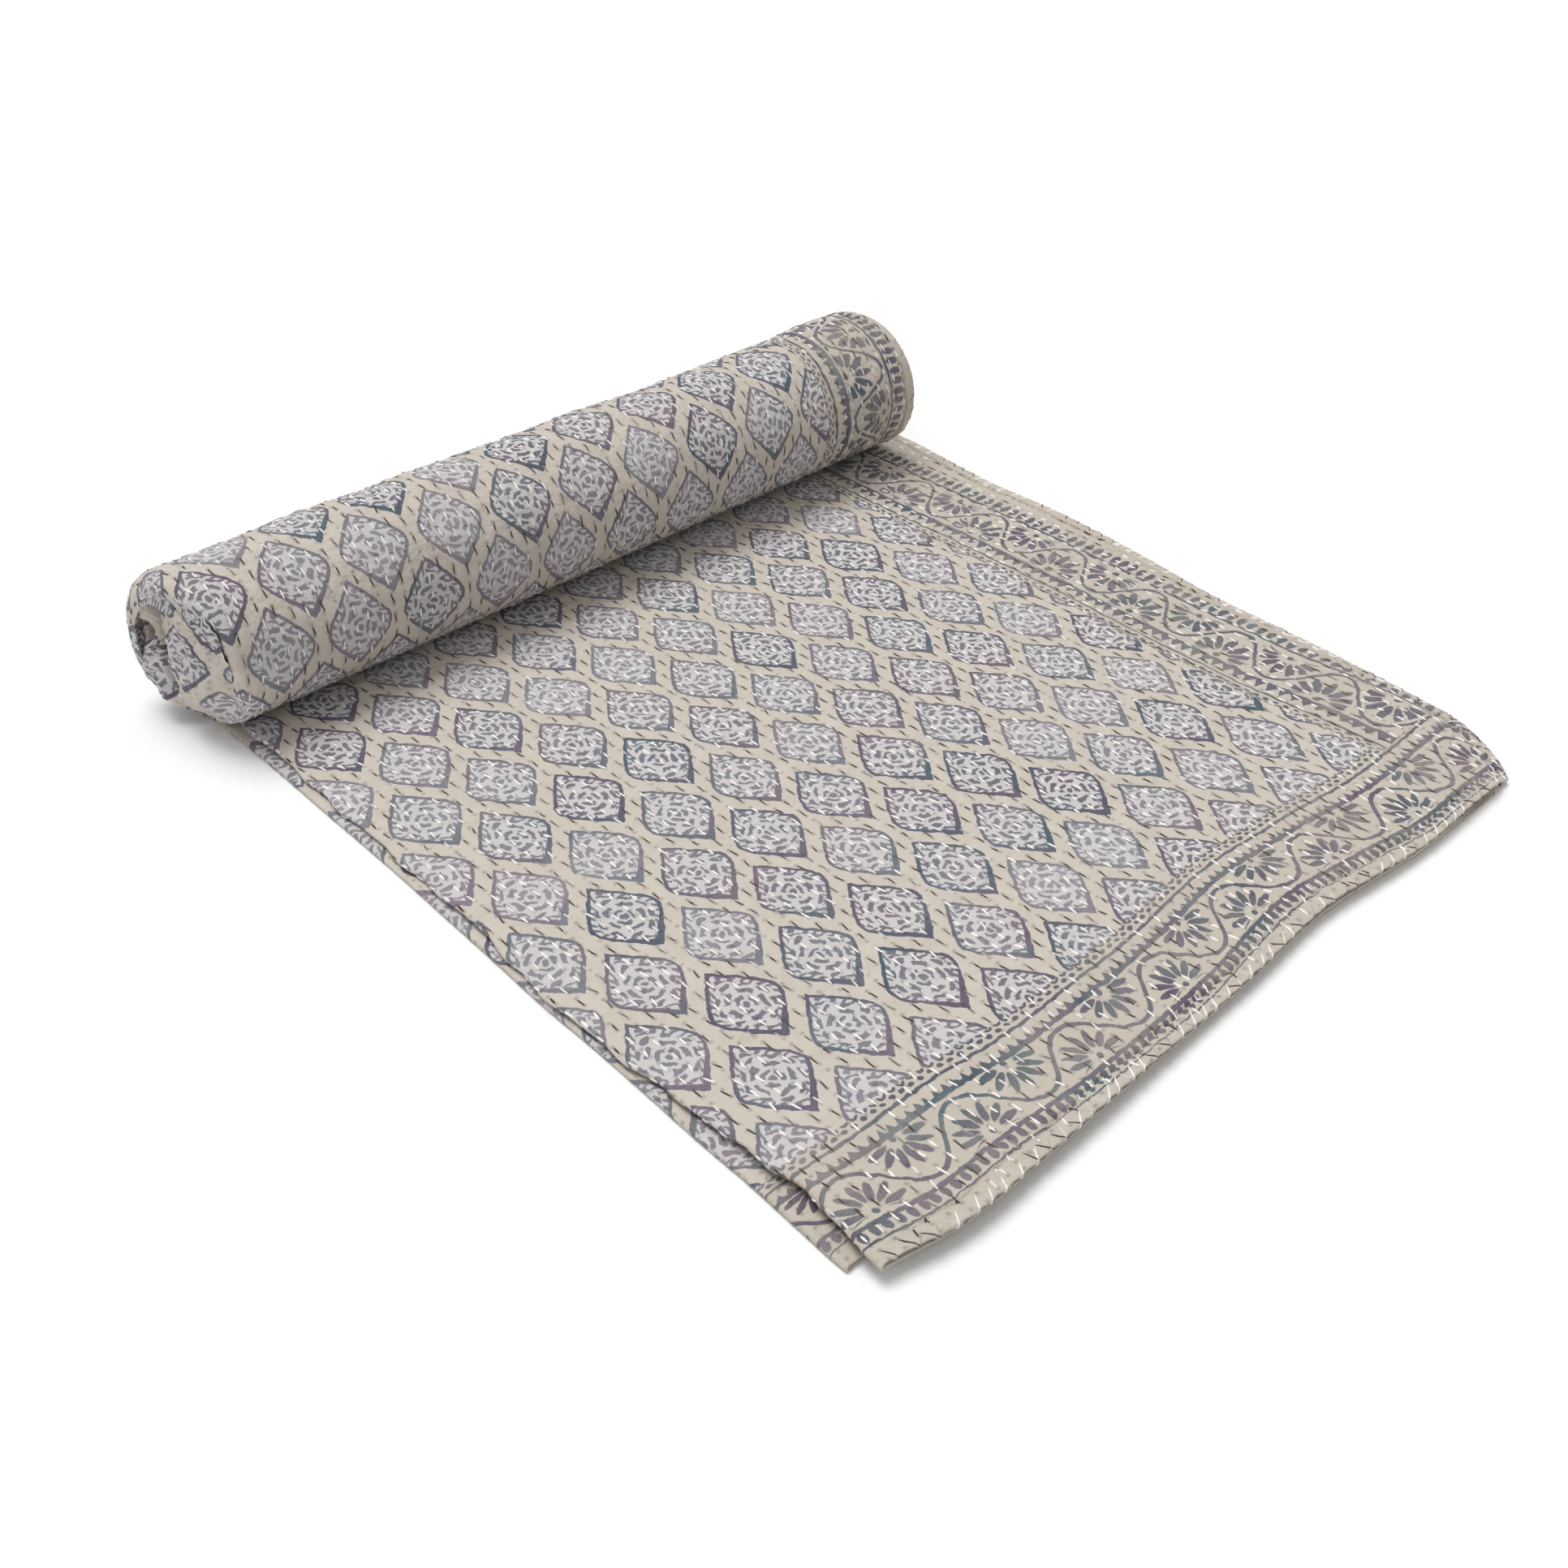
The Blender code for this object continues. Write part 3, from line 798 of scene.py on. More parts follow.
def print_places(place, count, along):
    """(leaf, edge and stitch place) for every point. along is each row's length from the hem."""
    upper = count > 2
    v = np.broadcast_to(along[:, None], place.shape)
    line = np.where(upper, read(SIDE_LINES, "at", v), ROLL_SIDE_LINE)
    pushed = np.where(upper, FRONT_LINE - read(FRONT_LINES, "at", place), 0)
    row_up = ROLL_LATTICE.height - ROLL_LATTICE.slope * (place - ROLL_LATTICE.across)
    up_roll = (BOTTOM_ALONG - v - row_up) * LEAF_ROW / ROLL_LATTICE.spacing
    leaf_x = np.where(upper, place, place + ROLL_LEAF_SHIFT)
    leaf_pushed = LEAF_PUSH * pushed * (1 - ease((v - LEAF_PUSH_FROM) / LEAF_PUSH_OVER))
    leaf_y = np.where(upper, v + leaf_pushed, ROLL_LATTICE.row + up_roll)
    front = v + pushed * (1 - ease((v - FRONT_PUSH_FROM) / FRONT_PUSH_OVER))
    edge = np.stack([line + SIDE_LINE - place, front], axis=2)
    return np.stack([leaf_x, leaf_y], axis=2), edge, np.stack([leaf_x, v], axis=2)


print("the roll's leaves are", ROLL_LATTICE.spacing / LEAF_ROW, "times as far apart along it")

# %% Lengths along the cloth
ROLL_CONTACT = 0.9475  # the turn at which the roll comes down on the flat half


def wound_length(turns, start):
    """Length along the cloth at each turn, from the front hem."""
    middle = (turns[1:] + turns[:-1]) / 2
    step = math.tau * roll_radius(middle) * np.diff(turns)
    return start + np.concatenate([[0], np.cumsum(step)])


outer_along = wound_length(outer_turns, AXIS_ALONG)
inner_along = wound_length(inner_turns, outer_along[-1])
CONTACT_ALONG = float(np.interp(ROLL_CONTACT, outer_turns, outer_along))
BOTTOM_ALONG = float(np.interp(1.0, outer_turns, outer_along))
print("the cloth is", round(inner_along[-1], 3), "m long")

# %% The print places of the three grids
hem_rows = [-2 * HEM_RADIUS - back * HEM for back in FRONT_RUNS_BACK]
hem_rows = np.concatenate([hem_rows, -HEM_RADIUS * math.pi * FRONT_TURNS])
near_sheet = np.concatenate([front_rows, flat_sheet])
near_along = np.concatenate([hem_rows, flat_rows])
near_place = np.concatenate([np.repeat(flat_place[:1], len(front_rows), axis=0), flat_place])
near_print = print_places(near_place, flat_count, near_along)
outer_print = print_places(outer_place, roll_count, outer_along)
inner_print = print_places(inner_place, inner_count, inner_along)
print("the flat half's leaf places reach from", near_print[0].min(axis=(0, 1)), "m")
print("to", near_print[0].max(axis=(0, 1)), "m")

# %% [markdown]
# ## Making the meshes
# A grid becomes a mesh of quads. What shows from above is kept in its own few panels: they are
# parts of the same sheet and meet edge to edge, and each gets a texture of its own when the model
# is baked. To keep the joins from showing, every panel takes its normals from the whole grid.

# %% A mesh piece from arrays
LEAF_MAP, EDGE_MAP, STITCH_MAP, BAKE_MAP = "leaf place", "edge place", "stitch place", "OFBake"
pieces = []
print("the print's places are kept as", LEAF_MAP, "and", EDGE_MAP, "and", STITCH_MAP)


def quads(rows, columns):
    """The faces of a grid of points, as corner numbers."""
    first = np.arange(rows * columns).reshape(rows, columns)
    corners = (first[:-1, :-1], first[:-1, 1:], first[1:, 1:], first[1:, :-1])
    return np.stack([corner.ravel() for corner in corners], axis=1)


def add_map(mesh, name, corners, place):
    """A UV map, from a place for each of the numbers in corners."""
    layer = mesh.uv_layers.new(name=name)
    layer.data.foreach_set("uv", place[corners].astype(np.float32).ravel())


def mesh_piece(name, points, faces, normals, leaf, edge, stitch, bake=None):
    """A mesh object from flat arrays, with its print places as UV maps."""
    mesh = bpy.data.meshes.new(name)
    mesh.from_pydata((points + TO_FRAME).tolist(), [], faces.tolist())
    corners = faces.ravel()
    if bake is not None:
        add_map(mesh, BAKE_MAP, np.arange(len(corners)), bake)
    add_map(mesh, LEAF_MAP, corners, leaf)
    add_map(mesh, EDGE_MAP, corners, edge)
    add_map(mesh, STITCH_MAP, corners, stitch)
    mesh.shade_smooth()
    mesh.normals_split_custom_set_from_vertices(normals.tolist())
    piece = bpy.data.objects.new(name, mesh)
    bpy.context.scene.collection.objects.link(piece)
    pieces.append(piece)
    return piece


# %% Grids, which carry their normals and print places
Grid = namedtuple("Grid", "sheet normals leaf edge stitch")


def grid(sheet, places):
    return Grid(sheet, normals_of(sheet), *places)


def cut(whole, rows, columns):
    """A part of a grid, both ends included."""
    return Grid(*(part[rows[0] : rows[1] + 1, columns[0] : columns[1] + 1] for part in whole))


near_grid = grid(near_sheet, near_print)
outer_grid = grid(outer_sheet, outer_print)
inner_grid = grid(inner_sheet, inner_print)
print("the flat half's grid has", near_grid.sheet.shape[:2], "rows and columns")

# %% A bake layout that uses the whole square
BAKE_STRIPS = 2
BAKE_PAD = 0.006
BAKE_SPARE = 0.02  # the share of a strip's width that is kept free on both sides


def run_lengths(points):
    """The length along a line of points, at each of them."""
    return np.concatenate([[0], np.cumsum(np.linalg.norm(np.diff(points, axis=0), axis=1))])


def bake_rows(part):
    """UVs for each face corner: the panel is cut across into strips, laid one above the other."""
    rows, columns = part.sheet.shape[:2]
    length, deep = run_lengths(part.sheet[0]), run_lengths(part.sheet[:, columns // 2])
    width = length[-1] / BAKE_STRIPS
    high = deep[-1] + 2 * BAKE_PAD
    scale = 1 / max(width * (1 + 2 * BAKE_SPARE) + 2 * BAKE_PAD, BAKE_STRIPS * high)
    faces = quads(rows, columns)
    column_of, row_of = faces % columns, faces // columns
    middle = (length[column_of[:, 0]] + length[column_of[:, 1]]) / 2
    strip = np.minimum((middle / width).astype(int), BAKE_STRIPS - 1)[:, None]
    u = (length[column_of] - strip * width + BAKE_PAD + BAKE_SPARE * width) * scale
    v = (deep[row_of] + BAKE_PAD + strip * high) * scale
    return np.stack([u, v], axis=2).reshape(-1, 2)


def end_to_end(arrays):
    """Grids of points or places as one flat list."""
    return np.concatenate([array.reshape(-1, array.shape[-1]) for array in arrays])


def grid_piece(name, parts, is_panel=False):
    """One object from one or more grids."""
    faces = []
    start = 0
    for part in parts:
        rows, columns = part.sheet.shape[:2]
        faces.append(quads(rows, columns) + start)
        start += rows * columns
    points, normals, *maps = (end_to_end(arrays) for arrays in zip(*parts))
    bake = bake_rows(parts[0]) if is_panel else None
    piece = mesh_piece(name, points, np.concatenate(faces), normals, *maps, bake=bake)
    print(name, "has", len(piece.data.polygons), "faces")
    return piece


# %% The panels that show, and the rest of the quilt
def panels(name, whole, count):
    """A grid that shows, cut along the cloth into objects of their own."""
    cuts = np.linspace(0, len(whole.sheet) - 1, count + 1).round().astype(int)
    for number, rows in enumerate(zip(cuts, cuts[1:]), 1):
        columns = (0, whole.sheet.shape[1] - 1)
        grid_piece(f"{name}_{number}", [cut(whole, rows, columns)], is_panel=True)


all_near_rows = (0, len(near_sheet) - 1)
all_outer_rows = (0, OUTER_ROWS)
top_start = int(np.searchsorted(flat_count, 3 - AROUND)) - 1
skin_end = int(np.searchsorted(roll_count, 1 + AROUND)) + 1
top_part = cut(near_grid, all_near_rows, (top_start, len(flat_count) - 1))
skin = cut(outer_grid, all_outer_rows, (0, skin_end))
panels("top_panel", top_part, 3)
panels("roll_panel", skin, 2)
under_top = cut(near_grid, all_near_rows, (0, top_start))
under_skin = cut(outer_grid, all_outer_rows, (skin_end, len(roll_count) - 1))
quilt_rest = grid_piece("quilt_under_layers", [under_top, under_skin, inner_grid])

# %% [markdown]
# ## The roll's left end
# Inside the rounded end the inner turns are pushed out a little. They close it with two lobes of
# cloth that meet in a slit, and beside the slit one turn stands open. Winding every turn that
# exactly would take a long table for little to see, so each lobe is a sheet of its own that
# bulges out between the slit and the outer turn.

# %% The slit, and how far the lobes stand out
Slit = namedtuple("Slit", "up back")
SLIT = (
    Slit(-0.046, 0.003),
    Slit(-0.019, 0.0125),
    Slit(-0.012, 0.016),
    Slit(0.001, 0.0195),
    Slit(0.019, 0.0228),
    Slit(0.032, 0.026),
    Slit(0.046, 0.028),
)
END_RADIUS = 0.0460
LOBE_ROWS, LOBE_COLUMNS = 124, 84
LOBE_REACH, SLIT_REACH = 0.985, 0.97  # how far they fill the round end, up and down and aside
LOBE_OUT = 0.003
SLIT_DEEP = 0.009
SLIT_EDGE, SLIT_WIDE = 0.0035, 0.0030
SUNK_AT = 0.004  # where the lobes' rims lie, inside the roll
print("the slit bends through", len(SLIT), "places")

# %% What stands out of the roll's end, and the turn that stands open
Bulge = namedtuple("Bulge", "back up wide high out")
FRONT_BULGES = (
    Bulge(-0.006, -0.004, 0.021, 0.032, 0.0085),
    Bulge(-0.026, -0.020, 0.010, 0.020, 0.0030),
    Bulge(0.004, -0.036, 0.012, 0.009, 0.0060),
    Bulge(-0.008, 0.030, 0.020, 0.010, 0.0030),
)
BACK_BULGES = (
    Bulge(0.027, -0.021, 0.014, 0.017, 0.0105),
    Bulge(0.034, 0.018, 0.016, 0.010, 0.0080),
    Bulge(0.012, -0.038, 0.012, 0.008, 0.0070),
)
OPEN_TURN = Bulge(0.0330, 0.0020, 0.0054, 0.0082, -0.046)  # stands open, so it goes inwards
OPEN_EDGE, OPEN_SLOPE = 0.65, 0.45  # where its wall starts, as shares of its own width
OPEN_RIM, RIM_AT, RIM_WIDE = 0.0022, 1.25, 0.22
RIPPLE, RIPPLE_STEP = 0.0009, 0.46  # the edges of the turns around the opening
RIPPLE_END, RIPPLE_FADES = 1.9, 0.7
LOBE_WAVES = (
    Wave(0.0007, 0.019, 0.037, 0.3),
    Wave(0.0005, -0.011, 0.023, 1.9),
    Wave(0.0003, 0.007, 0.009, 4.0),
)
LOBE_LEAVES = ((-0.006, 0.002), (0.026, -0.022))  # the middle of a printed leaf on each lobe
LOBE_PRINT = 1.3  # the lobes' print is this much shorter, because they lean back
LEAF_MIDDLE = (0.0400, 0.1135)  # of one leaf of the print
FAR_FROM_BORDERS = (0.3, 0.6)  # a place where no border is printed
BULGE_EDGE = 1.5  # a larger power makes the bulges flatter on top and steeper at their sides


def open_turn(back, up):
    """How far the cloth stands out around the open turn, and in inside it."""
    away = np.hypot((back - OPEN_TURN.back) / OPEN_TURN.wide, (up - OPEN_TURN.up) / OPEN_TURN.high)
    rim = OPEN_RIM * np.exp(-(((away - RIM_AT) / RIM_WIDE) ** 2))
    hole = OPEN_TURN.out * (1 - ease((away - OPEN_EDGE) / OPEN_SLOPE))
    near = ease(away - 1) * (1 - ease((away - RIPPLE_END) / RIPPLE_FADES))
    return rim, hole, RIPPLE * np.cos(math.tau * (away - RIM_AT) / RIPPLE_STEP) * near


print("the open turn is", 2 * OPEN_TURN.high, "m high and", -OPEN_TURN.out, "m deep")

# %% The two lobes
def lobe(is_back):
    """The grid of one lobe, from the slit to the outer turn."""
    up = np.linspace(-LOBE_REACH, LOBE_REACH, LOBE_ROWS)[:, None] * END_RADIUS
    rim = np.sqrt(END_RADIUS**2 - up**2)
    slit = np.clip(read(SLIT, "back", up), -SLIT_REACH * rim, SLIT_REACH * rim)
    reach = rim * (1 if is_back else -1)
    share = np.linspace(0, 1, LOBE_COLUMNS)
    back = slit + (reach - slit) * share
    up = up + 0 * share
    out = waves(LOBE_WAVES, back, up)
    for bulge in BACK_BULGES if is_back else FRONT_BULGES:
        away = ((back - bulge.back) / bulge.wide) ** 2 + ((up - bulge.up) / bulge.high) ** 2
        out = out + bulge.out * np.exp(-(away**BULGE_EDGE))
    from_slit = np.abs(back - slit)
    out = (out + LOBE_OUT) * ease(from_slit / SLIT_EDGE)
    out = out - SLIT_DEEP * (1 - ease(from_slit / SLIT_WIDE))
    if is_back:
        for stands_out in open_turn(back, up):
            out = out + stands_out
    turn = np.mod(np.arctan2(back, -up) / math.tau, 1.0)
    deeper = np.maximum(read(TURNS, "left", turn), 0)
    sunk = SUNK_AT + deeper * ease(np.hypot(back, up) / END_RADIUS * 2 - 1)
    sheet = np.stack([sunk - out, AXIS_ALONG + back, AXIS_HEIGHT + up], axis=2)
    leaf_back, leaf_up = LOBE_LEAVES[is_back]
    leaf_down = (up - leaf_up) * LOBE_PRINT
    leaf = np.stack([LEAF_MIDDLE[0] + leaf_back - back, LEAF_MIDDLE[1] + leaf_down], axis=2)
    if is_back:
        sheet, leaf = sheet[::-1], leaf[::-1]
    return grid(sheet, (leaf, np.broadcast_to(FAR_FROM_BORDERS, leaf.shape), leaf))


front_lobe, back_lobe = lobe(False), lobe(True)
grid_piece("end_lobes", [front_lobe, back_lobe])
print("the lobes stand out to", round(float(front_lobe.sheet[..., 0].min()), 4), "m across")

# %% [markdown]
# ## Running stitches
# Rows of running stitch hold the two cloths together. Only every second step of the needle shows,
# as a short ridge of thread with both ends pulled into the cloth. Particles could scatter such
# ridges, but stitches keep to their rows and follow every fold. So each one is placed by its row
# and its step, and is then laid on the grid of the cloth.

# %% Places between the rows and columns of a grid
JUST_INSIDE = 1.001  # keeps a place off the last row, so that there is one beyond it


def on_grid(part, row, column):
    """A grid's points, normals and print places at any rows and columns."""
    row = np.clip(row, 0, part.sheet.shape[0] - JUST_INSIDE)
    column = np.clip(column, 0, part.sheet.shape[1] - JUST_INSIDE)
    r, c = row.astype(int), column.astype(int)
    down, over = (row - r)[..., None], (column - c)[..., None]

    def blend(values):
        upper = values[r, c] * (1 - over) + values[r, c + 1] * over
        lower = values[r + 1, c] * (1 - over) + values[r + 1, c + 1] * over
        return upper * (1 - down) + lower * down

    laid = Grid(*(blend(values) for values in part))
    return laid._replace(normals=unit(laid.normals))


def columns_at(part, row, place):
    """Where a row of the grid has these places in the leaf print."""
    known = part.leaf[row, :, 0]
    order = np.argsort(known)
    return np.interp(place, known[order], order)


def lay_on(part, lengths, place, along):
    """The grid at places across and along the cloth. lengths is each row's place along."""
    row = np.interp(along, lengths, np.arange(len(lengths)))
    first = np.minimum(row.astype(int), len(lengths) - 2)
    column = np.zeros_like(row)
    for number in np.unique(first):
        here = first == number
        ends = [columns_at(part, edge, place[here]) for edge in (number, number + 1)]
        column[here] = ends[0] + (ends[1] - ends[0]) * (row[here] - number)
    return on_grid(part, row, column)


trial = lay_on(top_part, near_along, np.array([LEAF_MIDDLE[0]]), np.array([LEAF_MIDDLE[1]]))
print("one leaf of the print has its middle at", trial.sheet[0] + TO_FRAME)

# %% A piece of many short threads
THREAD_SUNK = 0.00015  # how far a thread's sides lie in the cloth
CELL_MARGIN = 0.15  # each thread has its own cell of the bake square, with this margin
# the crossing whip stitches' thread is mostly painted shade, for the dark notch beside each whip stitch
SEWING, WHITE, SHADED_WHIP = "sewing thread", "white hem thread", "brown hem thread"
threads = {SEWING: [], WHITE: [], SHADED_WHIP: []}


def thread_piece(name, kind, laid, rise, half):
    """One object of threads. rise and half are each station's height and half width.

    A thread has one place in the print, under its middle, so its colour doesn't change on it.
    """
    points, normals = laid.sheet, laid.normals
    count, stations = points.shape[:2]
    rise, half = np.array(rise)[:, None], np.array(half)[:, None]
    side = unit(np.cross(np.gradient(points, axis=1), normals))
    feet = points + normals * np.minimum(rise - half, -THREAD_SUNK)
    strands = np.stack([feet - side * half, points + normals * rise, feet + side * half], axis=2)
    leaning = unit(np.stack([normals - side, normals, normals + side], axis=2))
    faces = quads(stations, 3)[None] + (np.arange(count) * stations * 3)[:, None, None]
    faces = faces.reshape(-1, 4)
    at_middle = [places[:, stations // 2] for places in (laid.leaf, laid.edge, laid.stitch)]
    maps = [np.repeat(place, stations * 3, axis=0) for place in at_middle]
    cells = math.ceil(math.sqrt(count))
    number = np.arange(count)[:, None, None]
    inset = np.array([CELL_MARGIN, 1 - CELL_MARGIN])
    u = (number % cells + np.linspace(*inset, stations)[:, None]) / cells
    v = (number // cells + np.linspace(*inset, 3)) / cells
    bake = np.stack(np.broadcast_arrays(u, v), axis=3).reshape(-1, 2)[faces.ravel()]
    flat_points, flat_normals = strands.reshape(-1, 3), leaning.reshape(-1, 3)
    piece = mesh_piece(name, flat_points, faces, flat_normals, *maps, bake=bake)
    threads[kind].append(piece)
    print(name, "has", count, "threads and", len(faces), "faces")


# %% Running stitches on the flat half and round the roll
STITCH = 0.0074
STITCH_RISE = (-0.0002, 0.00058, 0.00072, 0.00058, -0.0002)
STITCH_HALF = (0.0003, 0.00062, 0.00067, 0.00062, 0.0003)
SHORTEST_STITCH, LONGEST_STITCH = 0.75, 1.15
STEP_STRAYS, ROW_STRAYS, SLANT_STRAYS = 0.0006, 0.0004, 0.0004  # how far a hand is off
FOLD_MARGIN, HEM_MARGIN = 0.004, 0.015  # no running stitch lies nearer to the fold or the hem
FRONT_MARGIN, UNDER_MARGIN = 0.004, 0.012  # nor to the front hem or to where the roll starts
scatter = np.random.default_rng(11)


def running_stitches(name, part, lengths, start, end):
    """Stitches in every furrow of a grid, from start to end along the cloth."""
    low, high = part.leaf[..., 0].min(), part.leaf[..., 0].max()
    places, alongs = [], []
    for row in range(math.ceil(low / STITCH_ROWS), math.floor(high / STITCH_ROWS) + 1):
        phase = row_phase(row)
        steps = np.arange(math.ceil(start / STITCH_PITCH - phase), int(end / STITCH_PITCH - phase))
        middle = (steps + phase) * STITCH_PITCH + scatter.normal(0, STEP_STRAYS, len(steps))
        half = STITCH / 2 * scatter.uniform(SHORTEST_STITCH, LONGEST_STITCH, len(steps))
        place = row * STITCH_ROWS + scatter.normal(0, ROW_STRAYS, len(steps))
        slant = scatter.normal(0, SLANT_STRAYS, len(steps))
        share = np.linspace(-1, 1, len(STITCH_RISE))
        places.append(place[:, None] + slant[:, None] * share)
        alongs.append(middle[:, None] + half[:, None] * share)
    place, along = np.concatenate(places), np.concatenate(alongs)
    middles = along[:, len(STITCH_RISE) // 2]
    nearest_row = np.searchsorted(lengths, middles).clip(0, len(lengths) - 1)
    edges = part.leaf[nearest_row][:, :, 0]
    off_fold = place.min(axis=1) > edges.min(axis=1) + FOLD_MARGIN
    off_hem = place.max(axis=1) < edges.max(axis=1) - HEM_MARGIN
    laid = lay_on(part, lengths, place[off_fold & off_hem], along[off_fold & off_hem])
    thread_piece(name, SEWING, laid, STITCH_RISE, STITCH_HALF)


running_stitches("stitches_top", top_part, near_along, FRONT_MARGIN, AXIS_ALONG - UNDER_MARGIN)
running_stitches("stitches_roll", skin, outer_along, AXIS_ALONG + UNDER_MARGIN, CONTACT_ALONG)

# %% [markdown]
# The hems are closed with whip stitches: each goes over the edge, slanting a little, and comes
# back through the cloth underneath. They follow the same grids, because these turn under at the
# hems as well.

# %% Whip stitches over the hems
WHIP_RISE = (-0.0002, 0.0004, 0.0006, 0.0006, 0.0006, 0.0006, 0.0006, 0.0005, -0.0002)
WHIP_HALF = (0.0003, 0.00045, 0.0005, 0.0005, 0.0005, 0.0005, 0.0005, 0.00045, 0.0003)
WHIP_STEPS = np.array([-1.0, -0.55, -0.3, -0.15, 0.0, 0.12, 0.3, 0.65, 1.0])
WHIP_UNDER, WHIP_OVER = 0.0050, 0.0078  # how far a stitch runs back underneath and on top
WHIP_SLANT = 0.0052  # how far aside it gets on top
WHIP_STRAYS, WHIP_LENGTHS, WHIP_SLANTS = 0.0009, (0.75, 1.2), (0.6, 1.3)
Ways = namedtuple("Ways", "kind slant share")
OVER = Ways(WHITE, WHIP_SLANT, 1.0)
# the second stitch is real thread, but its brown is painted shade for the dark notch each whip stitch
# casts
CROSSING = Ways(SHADED_WHIP, -WHIP_SLANT, 0.85)  # most of them are crossed by a second, browner stitch
FRONT_WHIPS = (0.004, 0.536)  # from where to where the front hem has them
CORNER_MARGIN, BEND_MARGIN = 0.012, 0.020  # the side hem has none near its corner and its bend


def whip_places(start, end, ways):
    """Where each stitch goes over the edge, and (over, aside) for its stations."""
    at = np.arange(start, end, WHIP_PITCH)
    at = at[scatter.random(len(at)) < ways.share]
    at = at + scatter.normal(0, WHIP_STRAYS, len(at))
    over = np.where(WHIP_STEPS > 0, WHIP_STEPS * WHIP_OVER, WHIP_STEPS * WHIP_UNDER)
    over = over * scatter.uniform(*WHIP_LENGTHS, (len(at), 1))
    aside = WHIP_STEPS * ways.slant * scatter.uniform(*WHIP_SLANTS, (len(at), 1))
    return at, over, aside


def front_whips(name, ways):
    """Whip stitches over the front hem."""
    at, over, aside = whip_places(*FRONT_WHIPS, ways)
    laid = lay_on(top_part, near_along, at[:, None] + aside, over - HEM_RADIUS)
    thread_piece(name, ways.kind, laid, WHIP_RISE, WHIP_HALF)


def side_whips(name, part, lengths, ends, turned_at, ways):
    """Whip stitches over the side hem of a grid. turned_at is the column where it turns under."""
    at, over, aside = whip_places(*ends, ways)
    row = np.searchsorted(lengths, at).clip(0, len(lengths) - 1)
    hem = part.leaf[row, turned_at, 0] + HEM_RADIUS
    laid = lay_on(part, lengths, hem[:, None] - over, at[:, None] + aside)
    thread_piece(name, ways.kind, laid, WHIP_RISE, WHIP_HALF)


hem_columns = len(hem_places())
flat_side = (top_part, near_along, (CORNER_MARGIN, AXIS_ALONG - BEND_MARGIN), -1 - hem_columns)
roll_side = (skin, outer_along, (AXIS_ALONG + BEND_MARGIN, CONTACT_ALONG), hem_columns)
front_whips("whip_stitches_front", OVER)
side_whips("whip_stitches_side", *flat_side, OVER)
side_whips("whip_stitches_roll", *roll_side, OVER)
front_whips("crossing_stitches_front", CROSSING)
side_whips("crossing_stitches_side", *flat_side, CROSSING)

# %% Whip stitches beside the slit of the roll's end
SLIT_STITCHES = (0.2, 0.29, 0.37, 0.45, 0.53, 0.61, 0.68)  # shares of the lobe's height
SLIT_COLUMN = 5.6  # how many columns of the lobe's grid they lie from the slit
SLIT_HALF_ROWS, SLIT_HALF_COLUMNS = 4, 4.2  # half their length, in rows and columns
share = np.linspace(-1, 1, len(STITCH_RISE))
slit_row = np.array(SLIT_STITCHES)[:, None] * (LOBE_ROWS - 1) + SLIT_HALF_ROWS * share
slit_column = SLIT_COLUMN - SLIT_HALF_COLUMNS * share + 0 * slit_row
slit_whips = on_grid(front_lobe, slit_row, slit_column)
thread_piece("whip_stitches_end", WHITE, slit_whips, STITCH_RISE, STITCH_HALF)

# %% [markdown]
# ## The block print as numbers
# Each motif of the print is carved in a wooden block and stamped over and over, so it can be
# described by a few lengths and repeated. Here the whole print is worked out by Math nodes.
# Writing them one by one would fill pages, so a Field stands for a number at each point of the
# cloth, and adding or comparing two Fields places the nodes. A painted texture would be quicker
# to draw, but it would blur when seen from near.

# %% Fields: arithmetic that places Math nodes
class Field:
    """A number at each point of the cloth, worked out in a node tree.

    The signs of Python's own arithmetic each place one Math node.
    """

    def __init__(self, tree, socket):
        self.tree, self.socket = tree, socket

    def __add__(self, other):
        return calc("ADD", self, other)

    def __sub__(self, other):
        return calc("SUBTRACT", self, other)

    def __rsub__(self, other):
        return calc("SUBTRACT", other, self)

    def __mul__(self, other):
        return calc("MULTIPLY", self, other)

    def __truediv__(self, other):
        return calc("DIVIDE", self, other)

    def __abs__(self):
        return calc("ABSOLUTE", self)

    __radd__, __rmul__ = __add__, __mul__


NODE_ROWS, NODE_WIDE, NODE_HIGH = 20, 60, 40  # how the nodes are laid out in the editor


def calc(operation, *values, clamp=False):
    """One Math node for fields and plain numbers, and the field that it works out."""
    tree = next(value.tree for value in values if isinstance(value, Field))
    node = tree.nodes.new("ShaderNodeMath")
    node.operation = operation
    node.use_clamp = clamp
    node.hide = True
    count = len(tree.nodes)
    node.location = (NODE_WIDE * (count // NODE_ROWS), -NODE_HIGH * (count % NODE_ROWS))
    for slot, value in zip(node.inputs, values):
        if isinstance(value, Field):
            tree.links.new(value.socket, slot)
        else:
            slot.default_value = value
    return Field(tree, node.outputs[0])


# %% Lengths, and shapes put together
def root(field):
    """The square root."""
    return calc("SQRT", field)


def length_of(one, other):
    """How far a place is from the middle, from its two distances."""
    return root(one * one + other * other)


def cosine(field):
    return calc("COSINE", field)


def nearest(field):
    """The nearest whole number."""
    return calc("ROUND", field)


def lowest(*fields):
    """The smallest of several fields: shapes put together."""
    return functools.reduce(functools.partial(calc, "MINIMUM"), fields)


def highest(*fields):
    """The largest of several fields: what lies inside every one of the shapes."""
    return functools.reduce(functools.partial(calc, "MAXIMUM"), fields)


def inside(distance, soft):
    """1 where a distance is below zero, with an edge that is soft wide."""
    return calc("MULTIPLY_ADD", distance, -1 / soft, 0.5, clamp=True)


